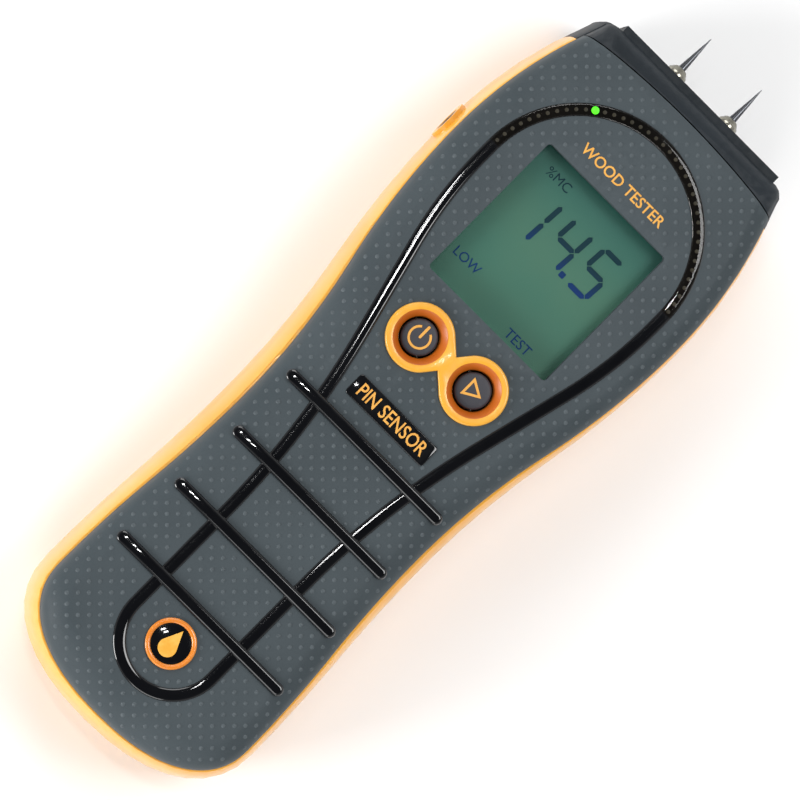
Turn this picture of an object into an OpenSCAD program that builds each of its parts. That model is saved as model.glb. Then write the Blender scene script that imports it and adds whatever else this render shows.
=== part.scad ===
// Pin-type moisture meter lying on its back. X is its width, +Y points along the needles and +Z
// out of the display. The origin is under the middle of its length, on the surface it lies on.

/* [Body] */
// Length of the body, from its tail to the platform that the needles stand on
body_len = 180.6; // [170:0.1:225]
// Thickness of the meter at the middle of its face
body_h = 33; // [31:0.1:40]
// Half of the width across the shoulders, at the back shell
shoulder_half = 34; // [33.5:0.1:41]
// Half of the width at the waist of the grip, at the back shell
waist_half = 27.6; // [27:0.1:34]
// Half of the width near the tail, at the back shell
tail_half = 29.6; // [29:0.1:36]
// Distance from the head's end down to the widest place
shoulder_from_head = 39.8; // [36:0.1:44]
// Distance from the tail's end up to the waist
waist_from_tail = 70.9; // [65:0.1:80]
// Length of the rounded tail
tail_round = 18.9; // [16:0.1:22]
// Radius that the head's sides are curved to
shoulder_r = 96; // [90:1:140]
// Wall of both shells
wall = 2.2; // [1.8:0.1:2.4]
// Depth of the front shell, from the middle of its face to the seam
front_depth = 8; // [8:0.1:8.6]
// Radius that the face is crowned to
crown_r = 420; // [360:5:700]
// How far the back shell's rim stands outside the front shell at the head
rim_head = 1.3; // [0.8:0.1:2]
// How far it does at the waist
rim_waist = 2.8; // [2:0.1:3.2]
// How far it does at the tail
rim_tail = 2.1; // [1.5:0.1:2.8]
// Height at which the back shell is widest
widest_z = 14; // [12:0.5:16]
// How far the flat foot lies inside the back shell's outline
foot_inset = 7; // [6:0.1:8]
// Thickness of the gasket between the shells
gasket_t = 0.5; // [0.3:0.05:0.8]

/* [Head and needles] */
// How far the platform stands beyond the head cap's end
platform_t = 1.3; // [0.8:0.1:2]
// Width of the platform
platform_w = 44.4; // [36:0.1:46]
// Distance from the platform down to the cap's seam on the face
seam_depth = 5.6; // [5:0.1:7]
// Radius that the seam is curved to
seam_r = 190; // [150:5:300]
// Distance from the platform down to the cap's seam on the sides
side_seam_depth = 9.2; // [8.5:0.1:10]
// Distance between the two needles
needle_pitch = 15; // [12:0.1:20]
// Depth of the needles below the middle of the face
needle_depth = 11; // [11:0.1:12.5]
// Radius of a needle's shank
needle_r = 0.9; // [0.7:0.05:1.1]
// How far the needle tips stand beyond the platform
needle_reach = 11.1; // [9:0.1:16]
// Outer radius of a brass needle socket
socket_r = 2.6; // [2.4:0.1:3.2]
// Radius of a collet nut at its base
nut_r = 2.35; // [2.2:0.05:2.6]
// Height of a collet nut
nut_h = 2; // [1.6:0.1:3]
// Radius of a collet nut's threaded shank
shank_r = 1.6; // [1.5:0.05:1.8]
// Length of a collet nut's threaded shank
shank_len = 4.2; // [3.5:0.1:5]
// Thickness of the washer behind a collet nut
washer_t = 0.35; // [0.3:0.05:0.5]

/* [Display] */
// Width of the opening over the display
window_w = 34; // [28:0.1:36]
// Length of the opening over the display
window_len = 36; // [30:0.1:37]
// Distance from the platform down to the middle of the display
window_from_head = 47.15; // [46.5:0.05:48]
// Thickness of the clear window
window_t = 1.2; // [0.8:0.1:1.4]
// Depth of the clear window below the middle of the face
window_depth = 2.7; // [2.7:0.1:2.9]
// How much wider the clear window is than the opening, on each side
window_lap = 1.2; // [0.9:0.1:1.4]
// Thickness of the liquid crystal panel
lcd_t = 1.8; // [1.4:0.1:2]

/* [Keys] */
// Distance between the middles of the two keys
key_pitch = 15.7; // [15.2:0.1:18]
// Distance from the platform down to the keys
key_from_head = 76.8; // [76.3:0.1:78]
// Radius of a key
key_r = 3.9; // [3.2:0.05:4.1]
// Travel of a key
key_travel = 0.5; // [0.3:0.05:0.6]
// Outer radius of the bezel round a key
bezel_r = 7.3; // [6.8:0.1:7.5]
// Radius at which the bezel's flat rim turns down to the key
bezel_rim_r = 5.8; // [5.6:0.1:6.1]
// Width of the bridge between the bezel's two rings
bridge_w = 4.5; // [3:0.1:7]
// How far the bezel stands above the face
bezel_proud = 0.8; // [0.4:0.1:1.2]
// How far a key's top lies below the middle of the face
key_sunk = 0.6; // [0.4:0.1:0.9]

/* [Track and lights] */
// Outer radius of the loop's top arc
track_r = 26.5; // [26:0.1:27]
// Outer radius of the loop's bottom arc
track_low_r = 12.5; // [10:0.1:14]
// Width of the loop's band
track_w = 2.75; // [2:0.05:3.2]
// Distance from the platform down to the middle of the top arc
track_from_head = 38; // [37.6:0.1:38.4]
// Distance from the tail's end up to the middle of the bottom arc
track_from_tail = 23.5; // [21:0.1:27]
// Distance from the tail's end up to where the loop's sides turn parallel
calf_from_tail = 49.9; // [45:0.1:55]
// How far the loop stands above the face
track_proud = 0.4; // [0.2:0.05:0.7]
// Depth that the loop is let into the face
inlay_depth = 1.2; // [0.8:0.1:1.4]
// Distance between two lights along the arc
light_pitch = 2; // [1.8:0.1:4]
// Side of one light
light_w = 1.2; // [0.8:0.1:1.4]

/* [Grip bars and badges] */
// Distance between two grip bars
bar_pitch = 16.05; // [12:0.05:17]
// Distance from the tail's end up to the lowest bar
bar_from_tail = 31.5; // [31:0.1:34]
// Width of a bar
bar_w = 2.8; // [2:0.1:3.5]
// Length of the bars, from the lowest to the highest
bar_len = [47.5, 45.9, 44, 44.6];
// How far the bars stand above the face
bar_proud = 0.9; // [0.5:0.1:1.4]
// Distance from the tail's end up to the badge
badge_from_tail = 22.75; // [21.5:0.05:24]
// Outer radius of the badge
badge_r = 5.4; // [4:0.1:6.5]
// Width of the badge's ring
badge_ring_w = 1.2; // [0.8:0.1:1.6]
// Distance from the platform down to the name plate
plate_from_head = 93.1; // [91:0.1:94]
// Length of the name plate
plate_len = 22.3; // [18:0.1:25]
// Width of the name plate
plate_w = 5.2; // [4:0.1:5.5]

/* [Board] */
// Depth of the board's top below the middle of the face
board_depth = 9.8; // [9.8:0.1:10.2]
// Thickness of the circuit board
board_t = 1.6; // [1:0.1:2]
// Width of the board below the display
board_w = 42; // [38:0.1:42]
// Distance from the platform down to the board's lower edge
board_from_head = 96.8; // [95:0.1:98]
// Radius of the buzzer
buzzer_r = 6; // [5:0.5:6.5]
// Length and width of the search plate in the back
search_plate = [44, 34];

/* [Batteries] */
// Radius of an AA cell
cell_r = 7.25; // [5.25:0.05:7.25]
// Length of an AA cell with its nub
cell_len = 50.5; // [44.5:0.1:50.5]
// Distance between the middles of the two cells
cell_pitch = 15.4; // [15.2:0.1:15.8]
// Length of a battery spring as fitted
spring_len = 6; // [4:0.1:7]
// Thickness of the battery contacts
contact_t = 0.4; // [0.3:0.05:0.5]
// Wall of the battery holder
holder_wall = 1.2; // [1:0.1:1.3]
// Distance from the tail's end up to the bottom of the battery bay
bay_from_tail = 20.5; // [20:0.1:21]
// Half of the battery door's width
door_half = 17.2; // [16.9:0.1:17.6]
// How far the door's lip laps over the back shell on each side
door_lip = 2.2; // [2:0.1:2.4]
// Thickness of the battery door
door_t = 2; // [1.8:0.1:2]
// Thickness of the door's lip
lip_t = 0.8; // [0.6:0.05:0.9]
// Distance from the tail's end up to the door's upper edge
door_from_tail = 82; // [80:0.5:86]
// How far the battery door slides before it lifts off
door_travel = 14; // [8:0.5:14]

/* [Probe socket] */
// Radius of the hole that takes a 3.5 mm probe plug
jack_r = 1.8; // [1.3:0.05:2]
// Depth of that hole
jack_len = 14; // [10:0.5:15]
// Distance from the platform down to the probe socket
jack_from_head = 39.3; // [34:0.1:44]
// Height of the probe socket
jack_z = 17; // [16:0.1:17.4]
// Radius of the boss round the probe socket
jack_boss_r = 4.5; // [3.8:0.1:5]

/* [Screws] */
// Distance from the back shell's side in to the shell screws
screw_inset = 6.6; // [6.2:0.1:6.8]
// Distance from the platform down to the upper shell screws
screw_from_head = 14.3; // [13.8:0.1:14.8]
// Distance from the tail's end up to the lower shell screws
screw_from_tail = 23.8; // [23:0.1:24.5]
// Radius of a shell screw's thread
screw_r = 1.4; // [1.1:0.05:1.5]
// Radius of a shell screw's head
screw_head_r = 2.6; // [2.2:0.1:2.7]

/* [Fits] */
// Clearance of a piece seated in a pocket of its own body
seat = 0.05; // [0.02:0.01:0.1]
// Clearance between pieces that slide past each other
slide_gap = 0.3; // [0.2:0.05:0.35]
// Radial clearance of a turning or sliding pin in its bore
run_gap = 0.05; // [0.02:0.01:0.08]

/* [Hidden] */
$fn = 64;
far = 400;
eps = 0.01;
tail_end = -(body_len + needle_reach) / 2;
head_end = tail_end + body_len;
function from_head(d) = head_end - d;
function from_tail(d) = tail_end + d;

cap_end = head_end - platform_t;
shoulder_y = from_head(shoulder_from_head);
waist_y = from_tail(waist_from_tail);
tail_y = from_tail(tail_round);
split_z = body_h - front_depth;
tail_power = 2.3;
head_corner_r = 2.5;
seam_y = from_head(seam_depth);
side_seam_y = from_head(side_seam_depth);

window_y = from_head(window_from_head);
window_top = body_h - window_depth;
window_low = window_top - window_t;
pane_w = window_w + 2 * window_lap;
pane_len = window_len + 2 * window_lap;
lcd_top = window_low - slide_gap;
lcd_low = lcd_top - lcd_t;
frame_wall = 1.4;
frame_w = pane_w + 2 * frame_wall;
frame_len = pane_len + 2 * frame_wall;

board_top = body_h - board_depth;
board_low = board_top - board_t;
board_y = from_head(board_from_head);
board_end_y = side_seam_y - 1;
board_r = track_r + 2.1;

key_y = from_head(key_from_head);
key_x = key_pitch / 2;
key_top = body_h - key_sunk;
bezel_top = body_h + bezel_proud;
throat_r = key_r + slide_gap + 0.15;
barrel_r = throat_r + 1;
barrel_low = body_h - 4;
flange_r = barrel_r - 0.4;
flange_top = barrel_low - slide_gap;
flange_t = 0.8;
switch_w = 6;
switch_h = 3.5;
plunger_r = 1.2;
plunger_top = board_top + switch_h + 0.8;
plunger_len = 1.6;

track_y = from_head(track_from_head);
track_low_y = from_tail(track_from_tail);
hip_y = track_y - 2.8;
calf_y = from_tail(calf_from_tail);

plate_y = from_head(plate_from_head);
badge_y = from_tail(badge_from_tail);

needle_z = body_h - needle_depth;
needle_x = needle_pitch / 2;
tip_y = head_end + needle_reach;
nut_y = head_end + washer_t;
nut_tip_y = nut_y + nut_h;
socket_y = side_seam_y - 0.2;
needle_root_y = socket_y + 1.4;

cell_x = cell_pitch / 2;
bay_half = cell_x + cell_r + 0.3;
bay_y = from_tail(bay_from_tail);
bay_len = cell_len + spring_len + 2 * contact_t + 0.2;
bay_end_y = bay_y + bay_len;
door_low = 0.3;
door_top = door_low + door_t;
pad_t = 0.7;
cell_z = door_top + pad_t + 0.3 + cell_r;
holder_low = door_top + 1.2;
holder_high = cell_z + cell_r + 0.3 + holder_wall;
door_end_y = from_tail(door_from_tail);
tongue_ys = [from_tail(45), from_tail(68)];
tongue_len = 6;
tongue_reach = 1.8;

jack_y = from_head(jack_from_head);
boss_end_x = -shoulder_half - 0.6;
nose_r = 2.8;
jack_body = 6.4;

screw_spots = [for (s = [-1, 1]) for (y = [from_head(screw_from_head), from_tail(screw_from_tail)])
    [s * (side_half(y, shoulder_half, waist_half, tail_half) - screw_inset), y]];
board_spots = [[0, track_y + 15.2], [-16.5, board_y + 4.6], [16.5, board_y + 4.6]];
board_screw_r = 1;

// A curve from 1 to 0 that bends until a, runs straight until b and bends back
function ease(t, a, b) =
    let (m = 2 / (1 + b - a))
    t <= 0 ? 1 : t >= 1 ? 0
    : t < a ? 1 - m * t * t / (2 * a)
    : t < b ? 1 - m * a / 2 - m * (t - a)
    : m * (1 - t) * (1 - t) / (2 * (1 - b));

// Half-width of the body at a height y, for the three widths given
function side_half(y, s, w, t) =
    y > shoulder_y ? s - shoulder_r + sqrt(shoulder_r * shoulder_r - pow(y - shoulder_y, 2))
    : y > waist_y ? w + (s - w) * ease((shoulder_y - y) / (shoulder_y - waist_y), 0.5, 0.5)
    : t + (w - t) * ease((waist_y - y) / (waist_y - tail_y), 0.5, 0.5);

// Right half of the outline: k is 0 for the back shell's widest outline and 1 for the front
// shell's, and inset moves it inwards
function right_side(k, inset) =
    let (s = shoulder_half - rim_head * k - inset,
         w = waist_half - rim_waist * k - inset,
         t = tail_half - rim_tail * k - inset,
         e = tail_round - rim_tail * k - inset,
         corner_y = cap_end - inset - head_corner_r,
         corner_x = side_half(corner_y, s, w, t) - head_corner_r)
    concat(
        [for (i = [0:8]) let (a = i * 90 / 9)
            [t * pow(sin(a), 2 / tail_power), tail_y - e * pow(cos(a), 2 / tail_power)]],
        [for (i = [0:19]) let (y = tail_y + (corner_y - tail_y) * i / 20)
            [side_half(y, s, w, t), y]],
        [for (a = [0:30:90]) [corner_x + head_corner_r * cos(a), corner_y + head_corner_r * sin(a)]]);

function outline(k, inset) =
    let (right = right_side(k, inset), n = len(right))
    concat(right, [for (i = [n - 1:-1:1]) [-right[i][0], right[i][1]]]);

// Closed skin through level rings, each given as [z, k, inset]
module loft(rings) {
    loops = [for (r = rings) [for (p = outline(r[1], r[2])) [p[0], p[1], r[0]]]];
    n = len(loops[0]);
    top = len(rings) - 1;
    polyhedron(
        points = [for (l = loops) each l],
        faces = concat(
            [[for (i = [0:n - 1]) i]],
            [for (j = [0:top - 1]) for (i = [0:n - 1]) let (m = (i + 1) % n)
                each [[j * n + i, j * n + n + i, j * n + m], [j * n + m, j * n + n + i, j * n + n + m]]],
            [[for (i = [n - 1:-1:0]) top * n + i]]));
}

function back_rings(d, top) =
    let (f = 1 - d / top)
    concat(
        [for (a = [0, 25, 50, 70, 90])
            [d + f * 10 * (1 - cos(a)), 0, (d > 0 ? 0.8 : 1) * foot_inset * (1 - sin(a)) + d]],
        [for (a = [0, 35, 60, 78, 90])
            [d + f * (widest_z + (top - widest_z) * sin(a)), 1 - cos(a), d]]);

function front_rings(d, low) =
    [[low, 1, d], [body_h - 4.5, 1, 0.35 + d], [body_h - 2.5, 1, 1.3 + d], [body_h - 1.3, 1, 2.8 + d],
     [body_h - 0.4, 1, 4.8 + d], [body_h + 0.3, 1, 7.5 + d]];

// Everything under the crowned face, raised by dz
module crown(dz) {
    translate([0, far / 2, body_h - crown_r]) rotate([90, 0, 0])
        cylinder(r = crown_r + dz, h = far, $fn = 1440);
}

// Space on the body's side of the head cap's seam, moved inwards by gap
module below_seam(gap) {
    translate([0, seam_y - gap - seam_r, split_z]) cylinder(r = seam_r, h = far, $fn = 180);
    translate([-far / 2, side_seam_y - gap - far, -far / 2]) cube([far, far, far / 2 + split_z]);
}

module slot_2d(length, width) {
    square([length - width, width], center = true);
    for (s = [-1, 1]) translate([s * (length - width) / 2, 0]) circle(d = width);
}

module round_plate_2d(length, width, r) {
    square([length - 2 * r, width], center = true);
    square([length, width - 2 * r], center = true);
    for (x = [-1, 1], y = [-1, 1])
        translate([x * (length / 2 - r), y * (width / 2 - r)]) circle(r);
}

// Loop on the face, moved inwards by inset
function track_half(y) = track_low_r + (track_r - track_low_r)
    * ease((hip_y - y) / (hip_y - calf_y), 0.26, 0.49);

module track_area(inset) {
    sides = [for (i = [0:30]) let (y = track_low_y + (track_y - track_low_y) * i / 30)
        [track_half(y) - inset, y]];
    polygon(concat(sides, [for (i = [30:-1:0]) [-sides[i][0], sides[i][1]]]));
    translate([0, track_y]) circle(track_r - inset, $fn = 128);
    translate([0, track_low_y]) circle(track_low_r - inset, $fn = 96);
}

module track_band(grow) {
    difference() {
        track_area(-grow);
        track_area(track_w + grow);
    }
}

module light_arc(grow) {
    intersection() {
        translate([0, track_y]) difference() {
            circle(track_r + grow, $fn = 128);
            circle(track_r - track_w - grow, $fn = 128);
        }
        translate([-far / 2, track_y]) square(far);
    }
}

// A piece let into the face: the area given, from the inlay depth up to dz above the face
module on_face(depth, dz) {
    difference() {
        intersection() {
            translate([0, 0, body_h - 8]) linear_extrude(12) children();
            crown(dz);
        }
        crown(-depth);
    }
}

module bar_area(i, grow) {
    translate([0, from_tail(bar_from_tail + (i - 1) * bar_pitch)])
        slot_2d(bar_len[i - 1] + 2 * grow, bar_w + 2 * grow);
}

module plate_area(grow) {
    translate([0, plate_y]) round_plate_2d(plate_len + 2 * grow, plate_w + 2 * grow, 1.2);
}

module bezel_area(grow) {
    translate([0, key_y]) {
        square([key_pitch, bridge_w + 2 * grow], center = true);
        for (s = [-1, 1]) translate([s * key_x, 0]) circle(bezel_r + grow);
    }
}

module block(w, l, low, high, y = 0) {
    translate([-w / 2, y - l / 2, low]) cube([w, l, high - low]);
}

module at_keys() {
    for (s = [-1, 1]) translate([s * key_x, key_y, 0]) children();
}

// A turned piece on a needle's axis: s is -1 for the left and 1 for the right, y its start
module on_needle(s, y) {
    translate([s * needle_x, y, needle_z]) rotate([-90, 0, 0]) children();
}

module front_shell() {
    low = split_z + gasket_t / 2;
    color("dimgray") difference() {
        union() {
            difference() {
                intersection() {
                    loft(front_rings(0, low));
                    crown(0);
                }
                intersection() {
                    loft(front_rings(wall, low - 1));
                    crown(-wall);
                }
                difference() {
                    translate([-far / 2, seam_y - 20, 0]) cube([far, far, far]);
                    below_seam(0);
                }
            }
            intersection() {
                union() {
                    for (p = screw_spots) translate([p[0], p[1], low]) cylinder(r = 2.7, h = front_depth);
                    for (p = board_spots)
                        translate([p[0], p[1], board_top]) cylinder(r = 2.1, h = board_depth);
                }
                crown(-wall / 2);
            }
        }
        for (p = screw_spots)
            translate([p[0], p[1], low - 1]) cylinder(r = screw_r + seat, h = 6);
        for (p = board_spots)
            translate([p[0], p[1], board_top - 1]) cylinder(r = board_screw_r + seat, h = 6);
        block(window_w, window_len, lcd_low, body_h + 1, window_y);
        on_face(inlay_depth, 2) track_band(seat);
        translate([0, 0, split_z]) linear_extrude(far) light_arc(seat);
        on_face(inlay_depth, 2) for (i = [1:4]) bar_area(i, seat);
        on_face(inlay_depth, 2) plate_area(seat);
        on_face(inlay_depth, 2) bezel_area(seat);
        on_face(inlay_depth, 2) translate([0, badge_y]) circle(badge_r + seat);
        at_keys() translate([0, 0, split_z]) cylinder(r = barrel_r + seat, h = far);
    }
}

module back_shell() {
    high = split_z - gasket_t / 2;
    color("orange") difference() {
        union() {
            difference() {
                loft(back_rings(0, high));
                loft(concat(back_rings(wall, high), [[high + 1, 1, wall]]));
            }
            for (p = screw_spots) translate([p[0], p[1], wall + 0.2])
                cylinder(r = 3.9, h = high - wall - 0.2);
            intersection() {
                translate([boss_end_x, jack_y, jack_z]) rotate([0, 90, 0])
                    cylinder(r = jack_boss_r, h = 4);
                translate([-far, -far, 0]) cube([2 * far, 2 * far, high]);
            }
        }
        translate([-far / 2, side_seam_y, -1]) cube(far);
        for (p = screw_spots) translate([p[0], p[1], -1]) {
            cylinder(r = screw_head_r + slide_gap, h = 4.4);
            cylinder(r = screw_r + slide_gap, h = far);
        }
        translate([boss_end_x - 1, jack_y, jack_z]) rotate([0, 90, 0])
            cylinder(r = nose_r + seat, h = 8);
        door_space(door_half + slide_gap, slide_gap, -1, door_top + slide_gap);
        door_space(door_half + door_lip + slide_gap, slide_gap, -1, door_low + lip_t + 0.2);
        for (y = tongue_ys)
            block(2 * (door_half + tongue_reach + 0.15), tongue_len + 1, -1, door_top + 0.2,
                y - door_travel);
    }
}

module head_cap() {
    color("darkslategray") difference() {
        union() {
            difference() {
                intersection() {
                    loft(concat(back_rings(0, split_z - gasket_t / 2), front_rings(0, split_z + gasket_t / 2)));
                    crown(0);
                }
                below_seam(-0.12);
                translate([-far / 2, side_seam_y - 30, -1]) cube([far, 30.12, far]);
            }
            block(platform_w, platform_t + 2, needle_z - 10, needle_z + 6.5, head_end - platform_t / 2 - 1);
            block(28, 5, wall + 0.2, wall + 2.2, side_seam_y - 2);
        }
        for (s = [-1, 1]) on_needle(s, socket_y - 1) cylinder(r = socket_r + seat, h = far);
    }
}

module shell_gasket() {
    color("black") translate([0, 0, split_z - gasket_t / 2]) linear_extrude(gasket_t)
        intersection() {
            difference() {
                polygon(outline(1, 0.6));
                polygon(outline(1, wall - 0.3));
            }
            translate([-far / 2, side_seam_y - far]) square(far);
        }
}

module track_inlay() {
    color("black") on_face(inlay_depth, track_proud) difference() {
        track_band(0);
        light_arc(seat);
    }
}

module light_window() {
    color([0.12, 0.13, 0.12, 0.8]) intersection() {
        translate([0, 0, board_top + 2]) linear_extrude(far) light_arc(0);
        crown(track_proud);
    }
}

module grip_bar(i) {
    color("black") difference() {
        on_face(inlay_depth, bar_proud) bar_area(i, 0);
        on_face(inlay_depth + seat, track_proud + seat) track_band(seat);
    }
}

module name_plate() {
    color("black") on_face(inlay_depth, 0.3) plate_area(0);
}

module badge_ring() {
    color("orange") on_face(inlay_depth, 0.7) translate([0, badge_y]) difference() {
        circle(badge_r);
        circle(badge_r - badge_ring_w);
    }
}

module badge_face() {
    color("black") on_face(inlay_depth, 0.5) translate([0, badge_y])
        circle(badge_r - badge_ring_w - seat);
}

module key_bezel() {
    color("orange") difference() {
        union() {
            difference() {
                translate([0, 0, body_h - 2]) linear_extrude(bezel_proud + 2) bezel_area(0);
                crown(-inlay_depth);
            }
            at_keys() translate([0, 0, barrel_low]) cylinder(r = barrel_r, h = 3.4);
        }
        at_keys() {
            translate([0, 0, barrel_low - 1]) cylinder(r = throat_r, h = far);
            translate([0, 0, bezel_top - 2.2])
                cylinder(r1 = throat_r, r2 = bezel_rim_r, h = 2.2 + eps);
        }
    }
}

module key(s) {
    color("dimgray") translate([s * key_x, key_y, 0]) {
        translate([0, 0, flange_top - eps]) cylinder(r = key_r, h = key_top - flange_top + eps);
        translate([0, 0, flange_top - flange_t]) cylinder(r = flange_r, h = flange_t);
        translate([0, 0, plunger_top]) cylinder(r = 1.6, h = flange_top - plunger_top - eps);
    }
}

module plunger(s) {
    color("ivory") translate([s * key_x, key_y, plunger_top - plunger_len])
        cylinder(r = plunger_r, h = plunger_len);
}

module tact_switches() {
    color("silver") at_keys() difference() {
        block(switch_w, switch_w, board_top, board_top + switch_h);
        translate([0, 0, plunger_top - plunger_len - key_travel - 0.4])
            cylinder(r = plunger_r + run_gap + 0.05, h = far);
    }
}

module display_window() {
    color([0.75, 0.85, 0.8, 0.4]) block(pane_w, pane_len, window_low, window_top, window_y);
}

module window_seal() {
    color("black") intersection() {
        difference() {
            block(pane_w, pane_len, window_top, window_top + 1, window_y);
            block(window_w, window_len, window_top - 1, window_top + 2, window_y);
        }
        crown(-wall);
    }
}

module lcd_panel() {
    color("cadetblue") {
        block(pane_w - 1.4, pane_len - 1.4, lcd_low, lcd_low + lcd_t / 2, window_y);
        block(pane_w - 1.4, pane_len - 4.4, lcd_low + lcd_t / 2, lcd_top, window_y + 1.5);
    }
}

module lcd_frame() {
    color("white") {
        difference() {
            block(frame_w, frame_len, board_top, window_low, window_y);
            block(pane_w - 1.2, pane_len - 1.2, board_top - 1, window_low + 1, window_y);
        }
        for (s = [-1, 1]) translate([s * (pane_w / 2 - 1.8), 0, 0])
            block(2.5, pane_len - 1, board_top, lcd_low, window_y);
    }
}

module zebra_strip() {
    color("pink") block(pane_w - 9, 2.4, board_top, lcd_low, window_y - pane_len / 2 + 2.6);
}

module circuit_board() {
    color("darkgreen") translate([0, 0, board_low]) linear_extrude(board_t) difference() {
        union() {
            intersection() {
                translate([0, track_y]) circle(board_r, $fn = 128);
                translate([-far / 2, board_end_y - far]) square(far);
            }
            translate([-board_w / 2, board_y]) square([board_w, track_y - board_y]);
        }
        for (p = board_spots) translate(p) circle(board_screw_r + seat);
    }
}

module board_chips() {
    color([0.1, 0.1, 0.1]) {
        translate([7, 0, 0]) block(10, 10, board_low - 1.6, board_low, window_y + 6);
        translate([-8, 0, 0]) block(6, 8, board_low - 1.4, board_low, key_y + 6);
        translate([12, 0, 0]) block(5, 4, board_low - 1.4, board_low, key_y - 2);
        for (i = [-2:2]) translate([i * 4.5, 0, 0])
            block(2, 1.2, board_top, board_top + 0.9, board_y + 3);
    }
}

module light_row() {
    mid_r = track_r - track_w / 2;
    count = floor(PI * mid_r / light_pitch);
    color("limegreen") translate([0, track_y, 0]) for (i = [0:count - 1])
        rotate((i + 0.5) * 180 / count) translate([mid_r, 0, 0])
            block(light_w, light_w, board_top, board_top + 0.8);
}

module buzzer() {
    color("black") translate([0, board_y + 8.5, board_low - 3.4]) difference() {
        cylinder(r = buzzer_r, h = 3.4);
        translate([0, 0, -1]) cylinder(r = 1, h = 2);
    }
}

module search_plate() {
    color("peru") block(search_plate[0], search_plate[1], wall, wall + 0.4, track_y - 6);
}

module search_contact() {
    color("gold") translate([0, track_y - 6, 0]) {
        translate([0, 0, wall + 0.4]) cylinder(r = 0.8, h = 9);
        translate([0, 0, wall + 9.4]) cylinder(r = 1.4, h = board_low - wall - 9.4);
    }
}

module probe_socket() {
    color("black") difference() {
        union() {
            translate([boss_end_x + 0.1, jack_y, jack_z]) rotate([0, 90, 0])
                cylinder(r = nose_r, h = 4.5);
            translate([boss_end_x + 4.4, jack_y - jack_body / 2, jack_z - jack_body / 2])
                cube([jack_len - 3, jack_body, jack_body]);
        }
        translate([boss_end_x - 1, jack_y, jack_z]) rotate([0, 90, 0])
            cylinder(r = jack_r, h = jack_len + 1.1);
    }
}

module needle_socket(s) {
    color("goldenrod") difference() {
        on_needle(s, socket_y) cylinder(r = socket_r, h = head_end - socket_y);
        on_needle(s, needle_root_y - 0.2) cylinder(r = needle_r + run_gap, h = far);
        on_needle(s, head_end - shank_len - 0.4) cylinder(r = shank_r + run_gap, h = far);
    }
}

module socket_tags() {
    color("goldenrod") for (s = [-1, 1]) translate([s * needle_x, 0, 0]) {
        block(3, contact_t, needle_z - 2, board_top + contact_t, socket_y - contact_t / 2);
        block(3, 2.6, board_top, board_top + contact_t, socket_y - contact_t - 1.3 + eps);
    }
}

module collet_nut(s) {
    color("gainsboro") difference() {
        union() {
            on_needle(s, nut_y) cylinder(r = nut_r, h = nut_h * 0.4);
            on_needle(s, nut_y + nut_h * 0.4)
                cylinder(r1 = nut_r - 0.15, r2 = needle_r + 0.35, h = nut_h * 0.6);
            on_needle(s, head_end - shank_len) cylinder(r = shank_r, h = shank_len + washer_t + eps);
        }
        on_needle(s, head_end - shank_len - 1) cylinder(r = needle_r + run_gap, h = far);
    }
}

module nut_washer(s) {
    color("silver") on_needle(s, head_end) difference() {
        cylinder(r = nut_r + 0.15, h = washer_t);
        translate([0, 0, -1]) cylinder(r = shank_r + run_gap, h = 3);
    }
}

module needle(s) {
    taper_y = nut_tip_y - 0.4;
    color("silver") {
        on_needle(s, needle_root_y) cylinder(r = needle_r, h = taper_y - needle_root_y);
        on_needle(s, taper_y) cylinder(r1 = needle_r, r2 = 0.08, h = tip_y - taper_y);
    }
}

module battery_holder() {
    color([0.15, 0.15, 0.15]) difference() {
        block(2 * (bay_half + holder_wall), bay_len + 2 * holder_wall, holder_low, holder_high,
            bay_y + bay_len / 2);
        block(2 * bay_half, bay_len, holder_low - 1, holder_high - holder_wall, bay_y + bay_len / 2);
        for (s = [-1, 1]) translate([s * cell_x, 0, 0])
            block(3.4, 6, cell_z - 1.2, cell_z + 1.2, bay_end_y);
    }
}

// One AA cell, with its nub towards +Y, standing at the origin's height
module cell() {
    rotate([-90, 0, 0]) {
        cylinder(r = cell_r, h = cell_len - 1);
        cylinder(r = 2.7, h = cell_len);
    }
}

module battery(s) {
    start = bay_y + contact_t + 0.1;
    color(s < 0 ? "darkorange" : "orange")
        if (s < 0) translate([-cell_x, start + cell_len, cell_z]) rotate(180) cell();
        else translate([cell_x, bay_end_y - contact_t - 0.1 - cell_len, cell_z]) cell();
}

// Coil of round wire, rising from the origin along +Z
module coil(r1, r2, wire_r, height, turns) {
    sides = 8;
    steps = 12 * turns;
    ring = [for (i = [0:steps]) let (t = i / steps, a = 360 * turns * t, r = r1 + (r2 - r1) * t,
            z = wire_r + (height - 2 * wire_r) * t)
        [for (k = [0:sides - 1]) let (b = 360 * k / sides)
            [(r + wire_r * cos(b)) * cos(a), (r + wire_r * cos(b)) * sin(a), z + wire_r * sin(b)]]];
    polyhedron(
        points = [for (l = ring) each l],
        faces = concat(
            [[for (k = [0:sides - 1]) k]],
            [for (i = [0:steps - 1]) for (k = [0:sides - 1]) let (m = (k + 1) % sides)
                each [[i * sides + k, (i + 1) * sides + k, i * sides + m],
                      [i * sides + m, (i + 1) * sides + k, (i + 1) * sides + m]]],
            [[for (k = [sides - 1:-1:0]) steps * sides + k]]));
}

module battery_springs() {
    color("silver") {
        translate([-cell_x, bay_end_y - contact_t, cell_z]) rotate([90, 0, 0])
            coil(4.6, 2.6, 0.35, spring_len, 3.5);
        translate([cell_x, bay_y + contact_t, cell_z]) rotate([-90, 0, 0])
            coil(4.6, 2.6, 0.35, spring_len, 3.5);
    }
}

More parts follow.
